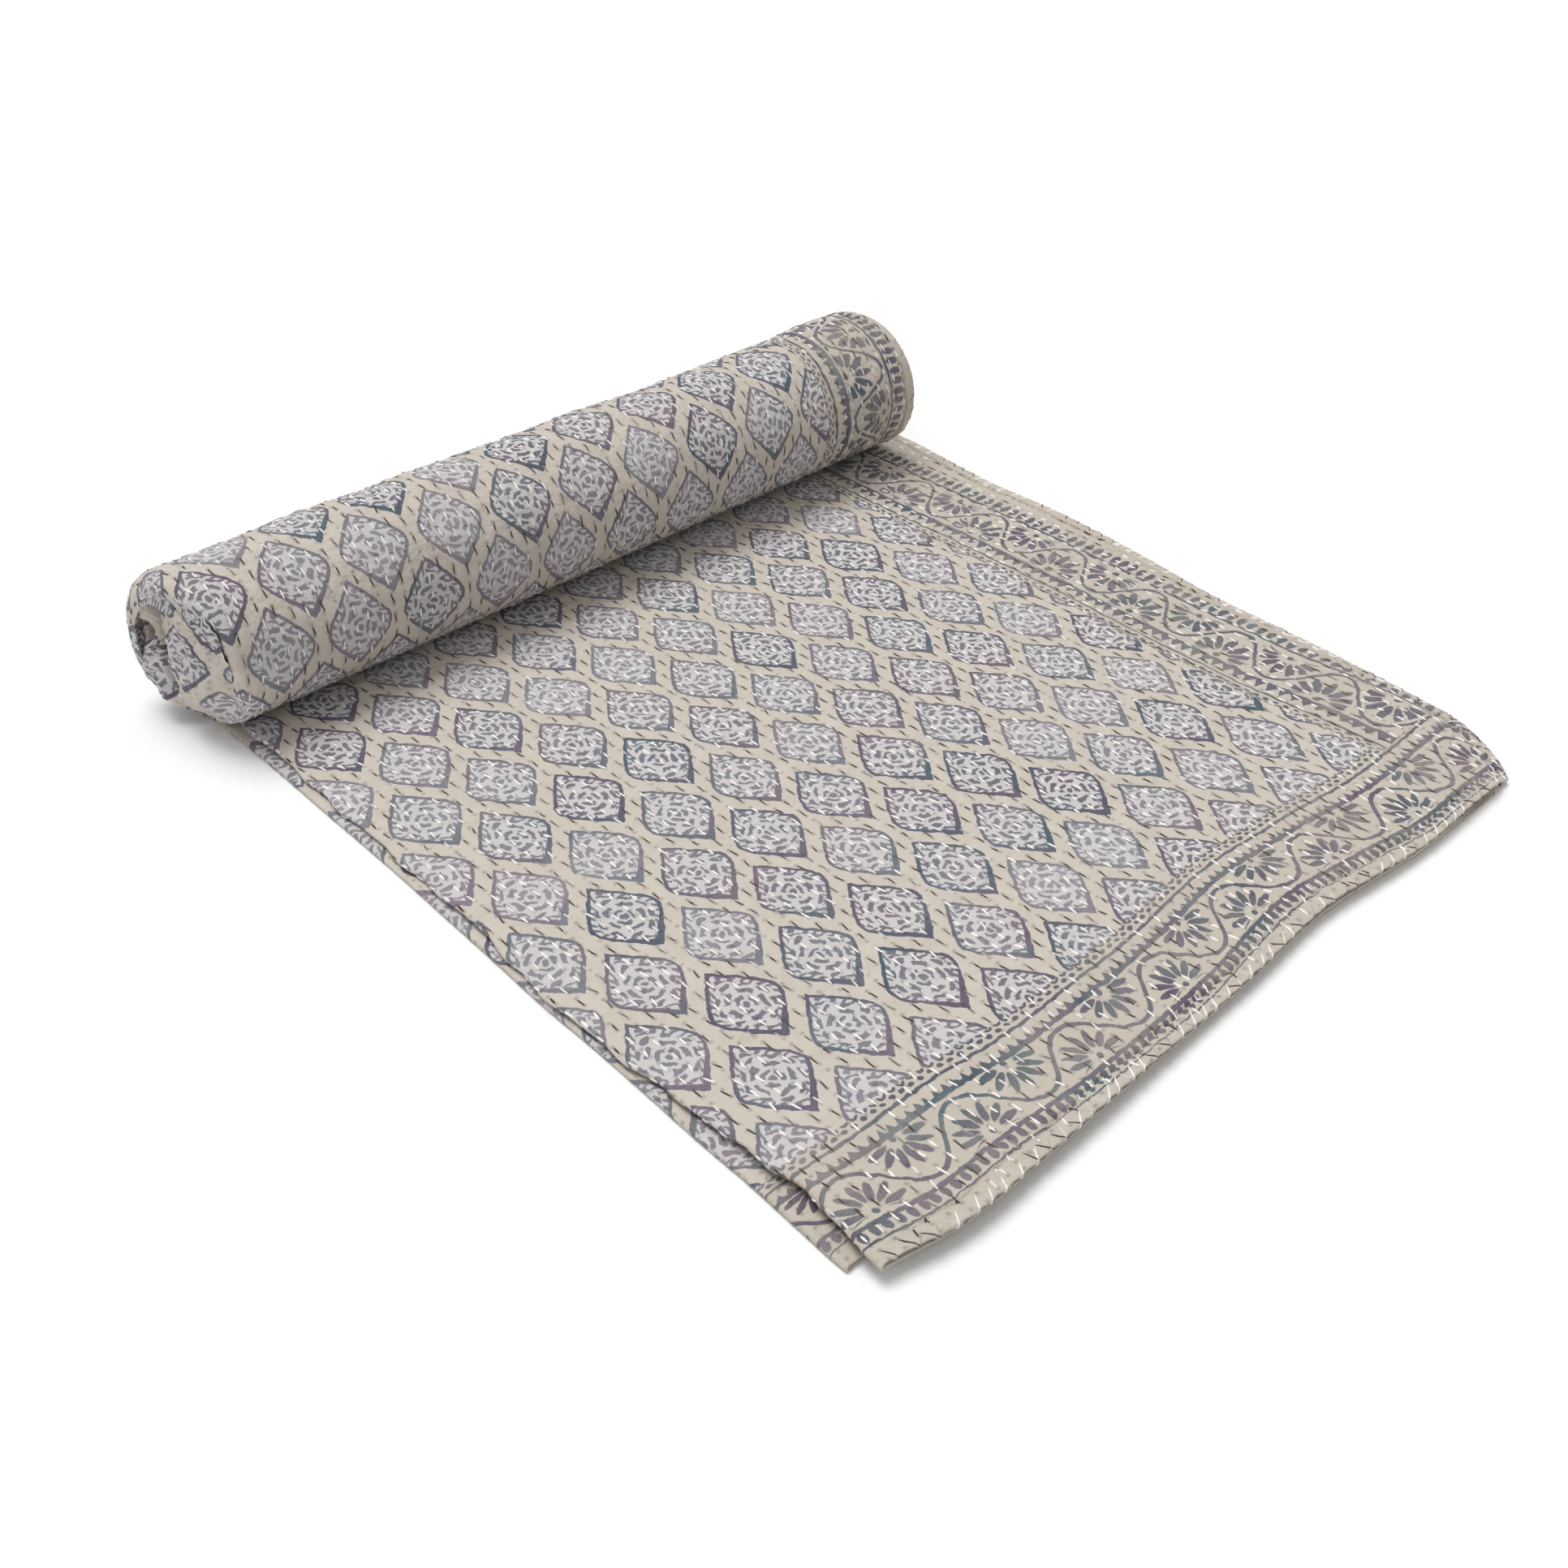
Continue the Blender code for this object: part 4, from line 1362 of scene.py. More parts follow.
def either(switch, when_off, when_on):
    """when_off where the switch is 0 and when_on where it is 1."""
    if isinstance(when_off, Field) or isinstance(when_on, Field):
        return when_off + (when_on - when_off) * switch
    return calc("MULTIPLY_ADD", switch, when_on - when_off, when_off)


def ellipse(across, along, wide, deep):
    """Distance from an ellipse's edge, below zero inside."""
    return (length_of(across / wide, along / deep) - 1) * wide


# %% [markdown]
# ### The leaves
# The leaves stand in rows, every second row half a leaf aside, so a pale net of channels runs
# between them. A leaf's outline is straight near its two points and round in the middle, which a
# hyperbola gives. Its sides are 43 mm apart and its points 59 mm.
# Inside are a dot, broken rings, twigs that grow in from the outline and a bud in each point.
# These are stock motifs of block-printed quilts, drawn here from plain shapes of their own.

# %% Leaf sizes, in millimetres
LEAF_ACROSS = 51.6  # from one leaf to the next in its row
LEAF_ALONG = 2 * LEAF_ROW * MM  # over two rows
LEAF_AT = tuple(place * MM for place in LEAF_MIDDLE)
LEAF_ROUND = 7.7  # a larger one makes the middle of the leaf rounder
LEAF_REACH = 30.5  # from the middle to where the straight sides would meet
LEAF_SLANT = 1.06  # a larger one makes the leaf narrower and its points sharper
OUTLINE = 2.1
WEDGE, WEDGE_FROM, WEDGE_OVER = 1.9, 16.0, 14.0  # the outline is thicker at the front point
EDGE_SOFT = 0.4
EDGE_RAGGED, INNER_RAGGED = 0.6, 1.3  # how far the ragged edge of the ink strays
print("leaves are", LEAF_ACROSS, "mm apart in a row, and rows", LEAF_ALONG / 2)

# %% What is inside a leaf, in millimetres
DOT = 1.9
SQUASH = 0.90  # the rings are a little longer than wide
TWIGS, TWIG_AT, TWIG_HALF = 23, 3.0, 1.9  # how many, and where they lie inside the edge
TWIG_GAP, TWIG_EDGE, TWIG_SLANT = 0.25, 1.2, 0.8
BARE = 4.4  # the rings keep that far from the leaf's edge
Ring = namedtuple("Ring", "radius thick breaks turned open")
RINGS = (
    Ring(4.5, 1.1, 3, 0.6, 0.70),
    Ring(9.2, 1.35, 5, 2.0, 0.50),
)
Blobs = namedtuple("Blobs", "radius count turned wide deep slant")
BLOBS = (
    Blobs(13.7, 9, 0.2, 3.1, 1.45, 0.05),
    Blobs(17.8, 14, 1.1, 1.9, 1.75, -0.10),
    Blobs(21.8, 15, 0.0, 2.9, 1.45, 0.07),
    Blobs(26.0, 19, 0.5, 1.8, 1.9, -0.05),
)
print("a leaf holds up to", sum(blobs.count for blobs in BLOBS), "small leaves in rings")


def broken_ring(round_way, angle, ring):
    """A ring with gaps: open is 1 for a whole ring and -1 for none."""
    line = abs(round_way - ring.radius) - ring.thick
    gaps = (-ring.open - cosine(angle * ring.breaks + ring.turned)) * (ring.radius / ring.breaks)
    return highest(line, gaps)


def ring_of_blobs(round_way, angle, blobs):
    """Small leaves in a ring, each a little aslant."""
    step = math.tau / blobs.count
    turned = (angle + round_way * blobs.slant - blobs.turned) / step
    from_middle = (turned - nearest(turned)) * step * round_way
    return ellipse(from_middle, round_way - blobs.radius, blobs.wide, blobs.deep)


def leaf_shapes(x, y, rough, rough_too):
    """(distance from the leaf's edge, its outline, its inner ink, its two numbers) in mm."""
    one = (x - LEAF_AT[0]) / LEAF_ACROSS + (y - LEAF_AT[1]) / LEAF_ALONG
    other = (x - LEAF_AT[0]) / LEAF_ACROSS - (y - LEAF_AT[1]) / LEAF_ALONG
    one_number, other_number = nearest(one), nearest(other)
    one_rest, other_rest = one - one_number, other - other_number
    across = (one_rest + other_rest) * (LEAF_ACROSS / 2)
    along = (one_rest - other_rest) * (LEAF_ALONG / 2)
    bow = root(along * along + LEAF_ROUND**2)
    steep = along / bow
    edge = (abs(across) * LEAF_SLANT + bow - LEAF_REACH) / root(steep * steep + LEAF_SLANT**2)
    edge = edge + rough * EDGE_RAGGED
    wedge = inside(along + WEDGE_FROM, WEDGE_OVER) * WEDGE
    outline = highest(edge, -1 * edge - OUTLINE - wedge)
    across, along = across + rough * INNER_RAGGED, along + rough_too * INNER_RAGGED
    angle = calc("ARCTAN2", along, across)
    round_way = length_of(across, along * SQUASH)
    parts = [round_way - DOT]
    parts += [broken_ring(round_way, angle, ring) for ring in RINGS]
    parts += [ring_of_blobs(round_way, angle, blobs) for blobs in BLOBS]
    between_twigs = TWIG_GAP - cosine(angle * TWIGS + edge * TWIG_SLANT)
    twigs = highest(abs(edge + TWIG_AT) - TWIG_HALF, between_twigs * TWIG_EDGE)
    inner = lowest(highest(lowest(*parts), edge + BARE), twigs)
    return edge, outline, inner, one_number, other_number


# %% [markdown]
# ### The borders
# The side border and the front border are the same bands at two widths. From the field outwards
# they are: small marks, a thin line, a thick line with teeth, a waving stem with a fan of petals
# in each bend, and a line with drops. Both are worked out once, with sizes that switch from one
# to the other, and the front one runs through at the corner.

# %% Border sizes in millimetres, from the thin line inwards to the field
Band = namedtuple("Band", "side front")
BANDS = {
    "line": Band(SIDE_LINE * MM, FRONT_LINE * MM),  # from the hem
    "thick": Band(-12.4, -10.0),
    "tooth": Band(8.4, 5.4),
    "teeth": Band(7.7, 6.2),  # from one tooth to the next
    "stem": Band(-35.2, -27.3),
    "swing": Band(17.0, 12.6),
    "inner_dot": Band(-17.5, -12.8),
    "outer_dot": Band(-49.0, -39.8),
    "drops": Band(-56.6, -45.0),
    "drop": Band(-64.0, -48.7),
    "drop_long": Band(5.8, 3.3),
    "drop_wide": Band(2.5, 2.2),
    "drop_step": Band(7.4, 6.4),  # from one drop to the next
    "period": Band(68.2, 73.4),
    "phase": Band(148.0, 88.0),
    "fan": Band(1.38, 1.06),
    "hem_line": Band(-200.0, -53.4),
}
print("the side border's stem swings", BANDS["swing"].side, "mm to either side of its middle")

# %% Sizes that both borders share
CORNER_OVERLAP, CORNER_SOFT = 2.0, 0.2  # the front border runs through this far past its line
BORDER_RAGGED = 1.2
LINE_HALF, THICK_HALF, DROPS_HALF, HEM_LINE_HALF = 1.0, 1.5, 1.3, 0.5  # half of each line's width
TOOTH_SLOPE = 1.9
STEM = 1.25
BLUNT = 0.18  # how much flatter than a cosine the stem's bends are
PETALS = 0.47  # from one petal to the next, in radians
PETAL_AT, PETAL_WIDE, PETAL_LONG, FAN_DOT = 11.6, 1.95, 6.2, 1.7  # in a fan of size 1
FAN_EDGE, FAN_OPEN = 6.0, 10.6  # the fan opens by their quotient to either side, in radians
STEM_GAP = 2.3
MARKS, MARK_LINE = 6.4, 0.75  # from one mark to the next, and half the line of the rings
Mark = namedtuple("Mark", "depth wide deep")
DOT_MARK, RING_MARK = Mark(4.0, 1.9, 1.3), Mark(8.6, 1.9, 2.0)
FIELD_STARTS = 8.0  # past the thin line
print("a fan opens by", round(math.degrees(FAN_OPEN / FAN_EDGE)), "degrees to either side")


def from_nearest(run, step):
    """How far a place is from the nearest of many that are a step apart."""
    return (run / step - nearest(run / step)) * step


# %% The border's stem and its bands
def stem_shapes(at, depth, run):
    """Distance from the ink of the waving stem and of the fan in each of its bends."""
    half = at["period"] * 0.5
    number = (run - at["phase"]) / half
    bend = nearest(number)
    here = (number - bend) * half
    inner = calc("FRACT", bend * 0.5) * 2
    swing = number * math.pi
    bow = cosine(swing)
    stem_at = at["stem"] + at["swing"] * bow * (1 + BLUNT - BLUNT * bow * bow)
    slope = calc("SINE", swing) * at["swing"] * math.pi / half
    stem = abs(depth - stem_at) / root(slope * slope + 1.0) - STEM
    out = either(inner, depth - at["outer_dot"], at["inner_dot"] - depth)
    reach = length_of(here, out)
    angle = calc("ARCTAN2", here, out)
    petal_angle = angle - nearest(angle / PETALS) * PETALS
    fan = at["fan"]
    petal = ellipse(petal_angle * reach, reach - fan * PETAL_AT, fan * PETAL_WIDE, fan * PETAL_LONG)
    petals = highest(petal, abs(angle) * FAN_EDGE - FAN_OPEN, STEM_GAP - stem)
    return lowest(stem, petals, reach - fan * FAN_DOT)


def band_shapes(at, depth, run):
    """Distance from the ink of the lines, the teeth, the drops and the marks by the field."""
    tooth_tip = at["tooth"] - abs(from_nearest(run, at["teeth"])) * TOOTH_SLOPE
    teeth = highest(depth - at["thick"] - tooth_tip, at["thick"] - depth - THICK_HALF)
    drop_place = from_nearest(run, at["drop_step"])
    drops = ellipse(drop_place, depth - at["drop"], at["drop_wide"], at["drop_long"])
    lines = lowest(
        abs(depth) - LINE_HALF,
        abs(depth - at["thick"]) - THICK_HALF,
        abs(depth - at["drops"]) - DROPS_HALF,
        abs(depth - at["hem_line"]) - HEM_LINE_HALF,
    )
    from_mark = abs(from_nearest(run, MARKS))
    dots = ellipse(from_mark, depth - DOT_MARK.depth, DOT_MARK.wide, DOT_MARK.deep)
    rings = ellipse(MARKS / 2 - from_mark, depth - RING_MARK.depth, RING_MARK.wide, RING_MARK.deep)
    return lowest(lines, teeth, drops, dots, abs(rings) - MARK_LINE)


def border_shapes(leaf_x, leaf_y, side, front, rough):
    """(distance into the field, distance from the border's ink) at a place in mm."""
    side_line, front_line = BANDS["line"]
    in_front = inside(front - (front_line + CORNER_OVERLAP), CORNER_SOFT)
    nearer = inside(front - front_line - (side - side_line), CORNER_SOFT)
    beyond_corner = highest(in_front, nearer)
    at = {name: either(beyond_corner, *band) for name, band in BANDS.items()}
    depth = either(beyond_corner, side, front) - at["line"] + rough * BORDER_RAGGED
    run = either(beyond_corner, leaf_y, leaf_x) + rough
    field = lowest(side - (side_line + FIELD_STARTS), front - (front_line + FIELD_STARTS))
    return field, lowest(band_shapes(at, depth, run), stem_shapes(at, depth, run))


# %% [markdown]
# ### Ink
# Block printing is uneven: each stamp leaves its own amount of dye, edges are ragged, and the
# colour drifts between slate blue and mauve. Every leaf gets its own strength from its two
# numbers, and three scales of noise do the rest.

# %% How uneven the ink is
Noise = namedtuple("Noise", "scale detail rough")
RAGGED, DRIFT, DRY = Noise(190.0, 2.0, 0.5), Noise(23.0, 2.0, 0.5), Noise(900.0, 2.0, 0.7)
NOISE_MIDDLE = 0.5
LEAF_RAG, BORDER_RAG = 3.2, 1.6  # how far an edge strays, in millimetres
Spread = namedtuple("Spread", "least more")
LEAF_STRENGTH, BORDER_STRENGTH = Spread(0.70, 0.28), Spread(0.60, 0.40)
FADED, DRIED = Spread(0.82, 0.42), Spread(0.80, 0.42)
INNER_INK = 0.84  # the ink inside a leaf, as a share of its outline's
HUE_DRIFT, HUE_MIDDLE, HUE_STAMPED = 2.2, 0.75, 0.3
FIELD_SOFT, TINT_SOFT = 0.6, 1.0
BORDER_COVERED, COVERED_SOFT = 0.47, 0.02  # where dye also covers the border's ground


def spread(field, over):
    """A field from 0 to 1, brought to its least value and the most that is added to it."""
    return field * over.more + over.least


print("a leaf's ink varies from", LEAF_STRENGTH.least, "to", sum(LEAF_STRENGTH))


# %% Noise and places, as fields
def add_noise(tree, place, noise):
    """A noise node's outputs."""
    node = tree.nodes.new("ShaderNodeTexNoise")
    node.noise_dimensions = "2D"
    node.inputs["Scale"].default_value = noise.scale
    node.inputs["Detail"].default_value = noise.detail
    node.inputs["Roughness"].default_value = noise.rough
    tree.links.new(place, node.inputs["Vector"])
    return node.outputs


def one_noise(tree, place, noise):
    """A noise as one field."""
    return Field(tree, add_noise(tree, place, noise)["Fac"])


def two_numbers(tree, outputs):
    """Two fields, from the first two parts of a noise's colour."""
    parts = tree.nodes.new("ShaderNodeSeparateColor")
    tree.links.new(outputs["Color"], parts.inputs["Color"])
    return Field(tree, parts.outputs["Red"]), Field(tree, parts.outputs["Green"])


def print_place(tree, name):
    """One of the UV maps, as a vector and as two fields in millimetres."""
    node = tree.nodes.new("ShaderNodeUVMap")
    node.uv_map = name
    parts = tree.nodes.new("ShaderNodeSeparateXYZ")
    tree.links.new(node.outputs["UV"], parts.inputs["Vector"])
    return node.outputs["UV"], *(Field(tree, parts.outputs[axis]) * MM for axis in ("X", "Y"))


# %% The print group
def stamp_numbers(tree, one_number, other_number):
    """Two numbers from 0 to 1 for each leaf, which its own two numbers choose."""
    stamp = tree.nodes.new("ShaderNodeTexWhiteNoise")
    stamp.noise_dimensions = "2D"
    numbers = tree.nodes.new("ShaderNodeCombineXYZ")
    tree.links.new(one_number.socket, numbers.inputs["X"])
    tree.links.new(other_number.socket, numbers.inputs["Y"])
    tree.links.new(numbers.outputs["Vector"], stamp.inputs["Vector"])
    return two_numbers(tree, stamp.outputs)


def make_print():
    """A node group that gives the print's ink, hue, tint and printed ground at a place."""
    tree = bpy.data.node_groups.new("block print", "ShaderNodeTree")
    where, x, y = print_place(tree, LEAF_MAP)
    _, side, front = print_place(tree, EDGE_MAP)
    ragged_numbers = two_numbers(tree, add_noise(tree, where, RAGGED))
    ragged, ragged_too = (number - NOISE_MIDDLE for number in ragged_numbers)
    fade, hue = two_numbers(tree, add_noise(tree, where, DRIFT))
    dry = one_noise(tree, where, DRY)
    edge, outline, inner, *numbers = leaf_shapes(x, y, ragged * LEAF_RAG, ragged_too * LEAF_RAG)
    field, border = border_shapes(x, y, side, front, ragged * BORDER_RAG)
    dyed, stamped_hue = stamp_numbers(tree, *numbers)
    in_field = inside(0 - field, FIELD_SOFT)
    leaf_ink = highest(inside(outline, EDGE_SOFT), inside(inner, EDGE_SOFT) * INNER_INK)
    border_ink = inside(border, EDGE_SOFT) * (1 - in_field)
    ink = leaf_ink * in_field * spread(dyed, LEAF_STRENGTH)
    ink = ink + border_ink * spread(fade, BORDER_STRENGTH)
    tint = inside(edge, TINT_SOFT) * in_field
    covered = (1 - in_field) * inside(BORDER_COVERED - fade, COVERED_SOFT)
    given = {
        "Ink": ink * spread(fade, FADED) * spread(dry, DRIED),
        "Hue": hue * HUE_DRIFT - HUE_MIDDLE + stamped_hue * HUE_STAMPED,
        "Tint": tint,
        "Printed": highest(tint, covered),
        "Fine": dry,
        "Border": 1 - in_field,
    }
    for name in given:
        tree.interface.new_socket(name=name, in_out="OUTPUT", socket_type="NodeSocketFloat")
    result = tree.nodes.new("NodeGroupOutput")
    for name, value in given.items():
        tree.links.new(value.socket, result.inputs[name])
    return tree


block_print = make_print()
print("the print is worked out by", len(block_print.nodes), "nodes")

# %% [markdown]
# ## Printed cotton
# Undyed cotton voile is warm and pale, and quite matt. The dye sinks into it, so it changes the
# colour and not the shine. A fine bump gives the crinkle that washing leaves between stitches.
# The weave itself could be drawn as well, but its yarns are too thin to be seen on a whole quilt.

# %% Colours
def linear(red, green, blue):
    """A colour as a printer would name it, from 0 to 255, as the light that a shader needs."""
    parts = (red / 255, green / 255, blue / 255)
    return tuple(p / 12.92 if p < 0.04045 else ((p + 0.055) / 1.055) ** 2.4 for p in parts) + (1.0,)


CREAM = linear(211, 202, 191)
CREAM_SHADE = linear(196, 187, 175)
SLATE = linear(73, 92, 103)
MAUVE = linear(107, 88, 106)
GREY_TINT = linear(204, 203, 211)
# painted shade: the colour that darkens the cloth in each stitch's two holes, where the pulled thread
# dimples it
HOLE_SHADE = linear(70, 62, 56)
print("cream cloth is", tuple(round(part, 3) for part in CREAM))

# %% What both of the printed materials start from
AMOUNT_SLOT, ONE_SLOT, OTHER_SLOT, RESULT_SLOT = 0, 6, 7, 2  # a Mix node's sockets for colours


def mix_colours(tree, amount, one, other):
    """A colour mix; one and other are colours or sockets."""
    node = tree.nodes.new("ShaderNodeMix")
    node.data_type = "RGBA"
    for slot, value in ((AMOUNT_SLOT, amount), (ONE_SLOT, one), (OTHER_SLOT, other)):
        if isinstance(value, bpy.types.NodeSocket):
            tree.links.new(value, node.inputs[slot])
        else:
            node.inputs[slot].default_value = value
    return node.outputs[RESULT_SLOT]


def printed_material(name, roughness, specular, sheen):
    """A new material, its tree, its shader, the print's outputs and the place in the print."""
    material = bpy.data.materials.new(name)
    material.use_nodes = True
    tree = material.node_tree
    surface = tree.nodes["Principled BSDF"]
    surface.inputs["Roughness"].default_value = roughness
    surface.inputs["Specular IOR Level"].default_value = specular
    surface.inputs["Sheen Weight"].default_value = sheen
    pattern = tree.nodes.new("ShaderNodeGroup")
    pattern.node_tree = block_print
    place = tree.nodes.new("ShaderNodeUVMap")
    place.uv_map = LEAF_MAP
    return material, tree, surface, pattern.outputs, place.outputs["UV"]


# %% Puckers along each stitch and at its two holes, in millimetres
PITCH_ACROSS, PITCH_ALONG = STITCH_ROWS * MM, STITCH_PITCH * MM
PRESSED_WIDE, PRESSED_LONG, PRESSED_FADES, PRESSED_DEEP = 1.5, 2.4, 2.0, 0.45
HOLE_AT, HOLE_WIDE, HOLE_DEEP = 3.1, 1.1, 0.75
print("a stitch has its two holes", 2 * HOLE_AT, "mm apart")


def hump(square):
    """1 in the middle and falling to 0, from the square of a distance."""
    return calc("EXPONENT", 0 - square)


def puckers(tree):
    """(height, holes): how the thread pulls the cloth down along and at the ends of a stitch."""
    _, x, along = print_place(tree, STITCH_MAP)
    row = nearest(x / PITCH_ACROSS)
    from_row = x - row * PITCH_ACROSS
    phase = sum(calc("SINE", row * part.rate + part.start) * part.size for part in ROW_PHASES)
    step = along / PITCH_ALONG - phase
    from_middle = abs(step - nearest(step)) * PITCH_ALONG
    across_row = from_row / PRESSED_WIDE
    pressed = hump(across_row * across_row) * inside(from_middle - PRESSED_LONG, PRESSED_FADES)
    from_hole = from_middle - HOLE_AT
    holes = hump((from_row * from_row + from_hole * from_hole) / HOLE_WIDE)
    return 0 - pressed * PRESSED_DEEP - holes * HOLE_DEEP, holes


# %% The printed cotton
MOTTLE, CRINKLE, WRINKLE = Noise(60.0, 3.0, 0.5), Noise(240.0, 3.0, 0.6), Noise(85.0, 1.0, 0.4)
CRINKLE_HIGH, WRINKLE_HIGH, FINE_HIGH, PULLED_DEEP = 0.9, 1.5, 0.15, 0.9
BUMP_STRENGTH, BUMP_DISTANCE = 0.8, 0.0011
# the last of these is how strongly the painted shade darkens the cloth in a stitch's holes
BORDER_DARKER, TINTED, HOLE_SHADE_AMOUNT = 0.5, 0.55, 0.35


def make_cotton():
    """Cotton with the print on it, crinkled and drawn in along its stitches."""
    material, tree, surface, pattern, where = printed_material(
        "printed cotton", roughness=0.92, specular=0.25, sheen=0.12
    )
    surface.inputs["Sheen Roughness"].default_value = 0.6
    shade = one_noise(tree, where, MOTTLE) + Field(tree, pattern["Border"]) * BORDER_DARKER
    ground = mix_colours(tree, shade.socket, CREAM, CREAM_SHADE)
    tint = Field(tree, pattern["Tint"]) * TINTED
    ground = mix_colours(tree, tint.socket, ground, GREY_TINT)
    dye = mix_colours(tree, pattern["Hue"], SLATE, MAUVE)
    colour = mix_colours(tree, pattern["Ink"], ground, dye)
    pulled, holes = puckers(tree)
    # painted shade: the cloth is darkened in the holes at both ends of each stitch
    colour = mix_colours(tree, (holes * HOLE_SHADE_AMOUNT).socket, colour, HOLE_SHADE)
    tree.links.new(colour, surface.inputs["Base Color"])
    crinkle, wrinkle = one_noise(tree, where, CRINKLE), one_noise(tree, where, WRINKLE)
    relief = crinkle * CRINKLE_HIGH + wrinkle * WRINKLE_HIGH
    relief = relief + Field(tree, pattern["Fine"]) * FINE_HIGH + pulled * PULLED_DEEP
    bump = tree.nodes.new("ShaderNodeBump")
    bump.inputs["Strength"].default_value = BUMP_STRENGTH
    bump.inputs["Distance"].default_value = BUMP_DISTANCE
    tree.links.new(relief.socket, bump.inputs["Height"])
    tree.links.new(bump.outputs["Normal"], surface.inputs["Normal"])
    return material


cotton = make_cotton()
thread_pieces = [piece for kind in threads.values() for piece in kind]
for piece in pieces:
    if piece not in thread_pieces:
        piece.data.materials.append(cotton)
print("the cotton has", len(cotton.node_tree.nodes), "nodes")

# %% [markdown]
# ## Thread
# The stitches are white cotton. Over the print they stand out bright. Over the bare cloth the thread
# sinks in and only its shadow shows, so there it is painted dark brown as painted shade; the thread
# asks the print group what lies under it.

# %% The thread
WHITE_THREAD = linear(250, 247, 241)
# painted shade: this dark brown stands for the shadow of a thread sunk in bare cloth
PAINTED_THREAD_SHADE = linear(76, 65, 55)
# random noise in how much of the painted shade each thread gets
THREAD_SHADE_NOISE, THREAD_SHADE_SPREAD = Noise(700.0, 1.0, 0.5), 0.9
# how much whiter each kind of thread is, that is how much less painted shade it gets
WHITER = {SEWING: 0.0, WHITE: 0.45, SHADED_WHIP: -0.45}


def make_thread(name, whiter):
    """Thread that is white over print and painted shade brown over bare cloth, and whiter or more
    shaded everywhere by one number.
    """
    material, tree, surface, pattern, where = printed_material(
        name, roughness=0.75, specular=0.3, sheen=0.1
    )
    shade_scatter = one_noise(tree, where, THREAD_SHADE_NOISE) - NOISE_MIDDLE
    white = calc("ADD", Field(tree, pattern["Printed"]) + shade_scatter * THREAD_SHADE_SPREAD, whiter, clamp=True)
    # painted shade: brown where the cloth under the thread is bare, white over print
    colour = mix_colours(tree, white.socket, PAINTED_THREAD_SHADE, WHITE_THREAD)
    tree.links.new(colour, surface.inputs["Base Color"])
    return material


for kind, whiter in WHITER.items():
    material = make_thread(kind, whiter)
    for piece in threads[kind]:
        piece.data.materials.append(material)
    print(kind, "is on", len(threads[kind]), "pieces")

# %% [markdown]
# ## Floor, light and camera
# A plain pale floor, one broad soft light above and behind, and a weak one from the left. The
# room is bright overhead and darker near the ground, as a studio is, so folds stay dark inside.
# The camera stands in front and to the left, above the quilt, a little turned.

# %% The floor
FLOOR = 6.0  # half its side
PALE = (0.97, 0.97, 0.97, 1)
floor_corners = [(x * FLOOR, y * FLOOR, 0) for x, y in ((-1, -1), (1, -1), (1, 1), (-1, 1))]
floor_mesh = bpy.data.meshes.new("floor")
floor_mesh.from_pydata(floor_corners, [], [(0, 1, 2, 3)])
floor = bpy.data.objects.new("floor", floor_mesh)
bpy.context.scene.collection.objects.link(floor)
pale = bpy.data.materials.new("pale floor")
pale.use_nodes = True
pale_surface = pale.node_tree.nodes["Principled BSDF"]
pale_surface.inputs["Base Color"].default_value = PALE
pale_surface.inputs["Roughness"].default_value = 0.9
floor_mesh.materials.append(pale)
print("the floor is", 2 * FLOOR, "m wide")

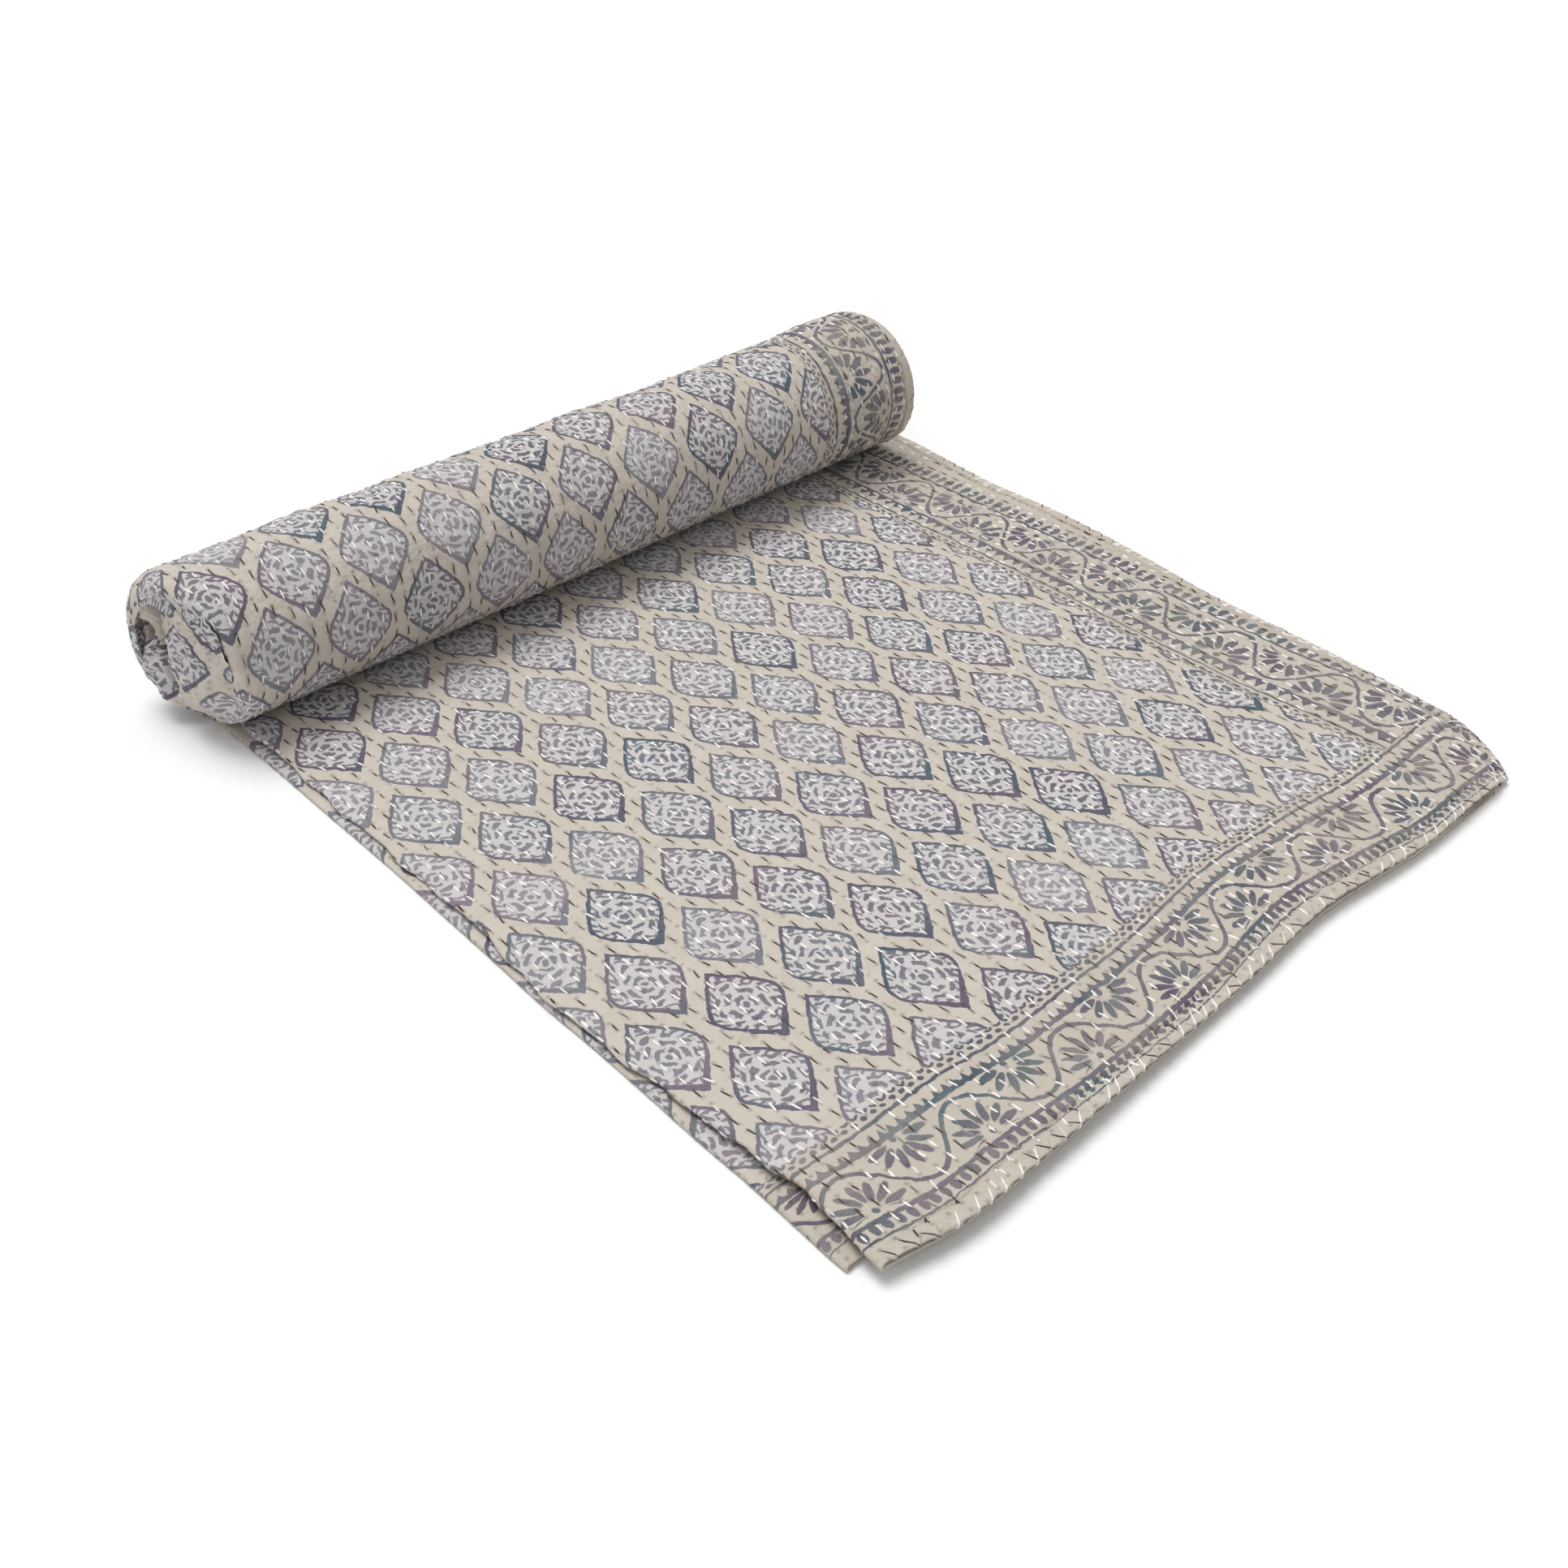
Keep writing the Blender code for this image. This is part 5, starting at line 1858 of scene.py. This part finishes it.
# %% The room and the lights
ROOM_LOW, ROOM_HIGH, HIGH_FROM = 0.12, 0.61, 0.75  # brightness at the ground and overhead
world = bpy.data.worlds.new("studio")
bpy.context.scene.world = world
world.use_nodes = True
sky = world.node_tree
direction = sky.nodes.new("ShaderNodeTexCoord")
height = sky.nodes.new("ShaderNodeSeparateXYZ")
brightness = sky.nodes.new("ShaderNodeMapRange")
brightness.inputs["From Min"].default_value = 0.0
brightness.inputs["From Max"].default_value = HIGH_FROM
brightness.inputs["To Min"].default_value = ROOM_LOW
brightness.inputs["To Max"].default_value = ROOM_HIGH
sky.links.new(direction.outputs["Generated"], height.inputs["Vector"])
sky.links.new(height.outputs["Z"], brightness.inputs["Value"])
sky.links.new(brightness.outputs["Result"], sky.nodes["Background"].inputs["Strength"])
sky.nodes["Background"].inputs["Color"].default_value = (1, 1, 1, 1)


def soft_light(name, place, strength, wide):
    """Even light from one side; wide is the angle in degrees that it comes from."""
    light = bpy.data.lights.new(name, "SUN")
    light.energy = strength
    light.angle = math.radians(wide)
    lamp = bpy.data.objects.new(name, light)
    lamp.location = place
    lamp.rotation_euler = (-Vector(place)).to_track_quat("-Z", "Y").to_euler()
    bpy.context.scene.collection.objects.link(lamp)
    print("the", name, "shines from", place)


soft_light("main light", (-0.15, 0.55, 1.9), 1.80, 32)
soft_light("side light", (-1.6, -0.2, 1.0), 0.12, 40)
bpy.context.scene.view_settings.view_transform = "Standard"

# %% The camera
CAMERA_AT = Vector((-0.6920, -0.5628, 0.6148))
CAMERA_TURN, CAMERA_TILT, CAMERA_ROLL = -48.263, 36.688, 3.987  # degrees
LENS = 41.66  # millimetres
turn, tilt, roll = (math.radians(angle) for angle in (CAMERA_TURN, CAMERA_TILT, CAMERA_ROLL))
back = Vector((math.sin(turn) * math.cos(tilt), -math.cos(turn) * math.cos(tilt), math.sin(tilt)))
level = (-back).cross(Vector((0, 0, 1))).normalized()
upward = level.cross(-back)
right = math.cos(roll) * level + math.sin(roll) * upward
upward = -math.sin(roll) * level + math.cos(roll) * upward
camera = bpy.data.objects.new("camera", bpy.data.cameras.new("camera"))
camera.data.lens = LENS
axes = Matrix((right, upward, back)).transposed().to_4x4()
camera.matrix_world = Matrix.Translation(CAMERA_AT) @ axes
bpy.context.scene.collection.objects.link(camera)
bpy.context.scene.camera = camera
print("the camera looks along", tuple(-back))

# %% [markdown]
# ## The quilt's body
# Every piece moves with the quilt's one body and stands for its solid. The whole cloth is one
# sheet, 2.28 by 2.74 m before it was folded.

# %% Attaching the pieces to the quilt's body
for piece in pieces:
    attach(piece, "root")
    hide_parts("quilt")
print(len(pieces), "pieces ride on the quilt's body")
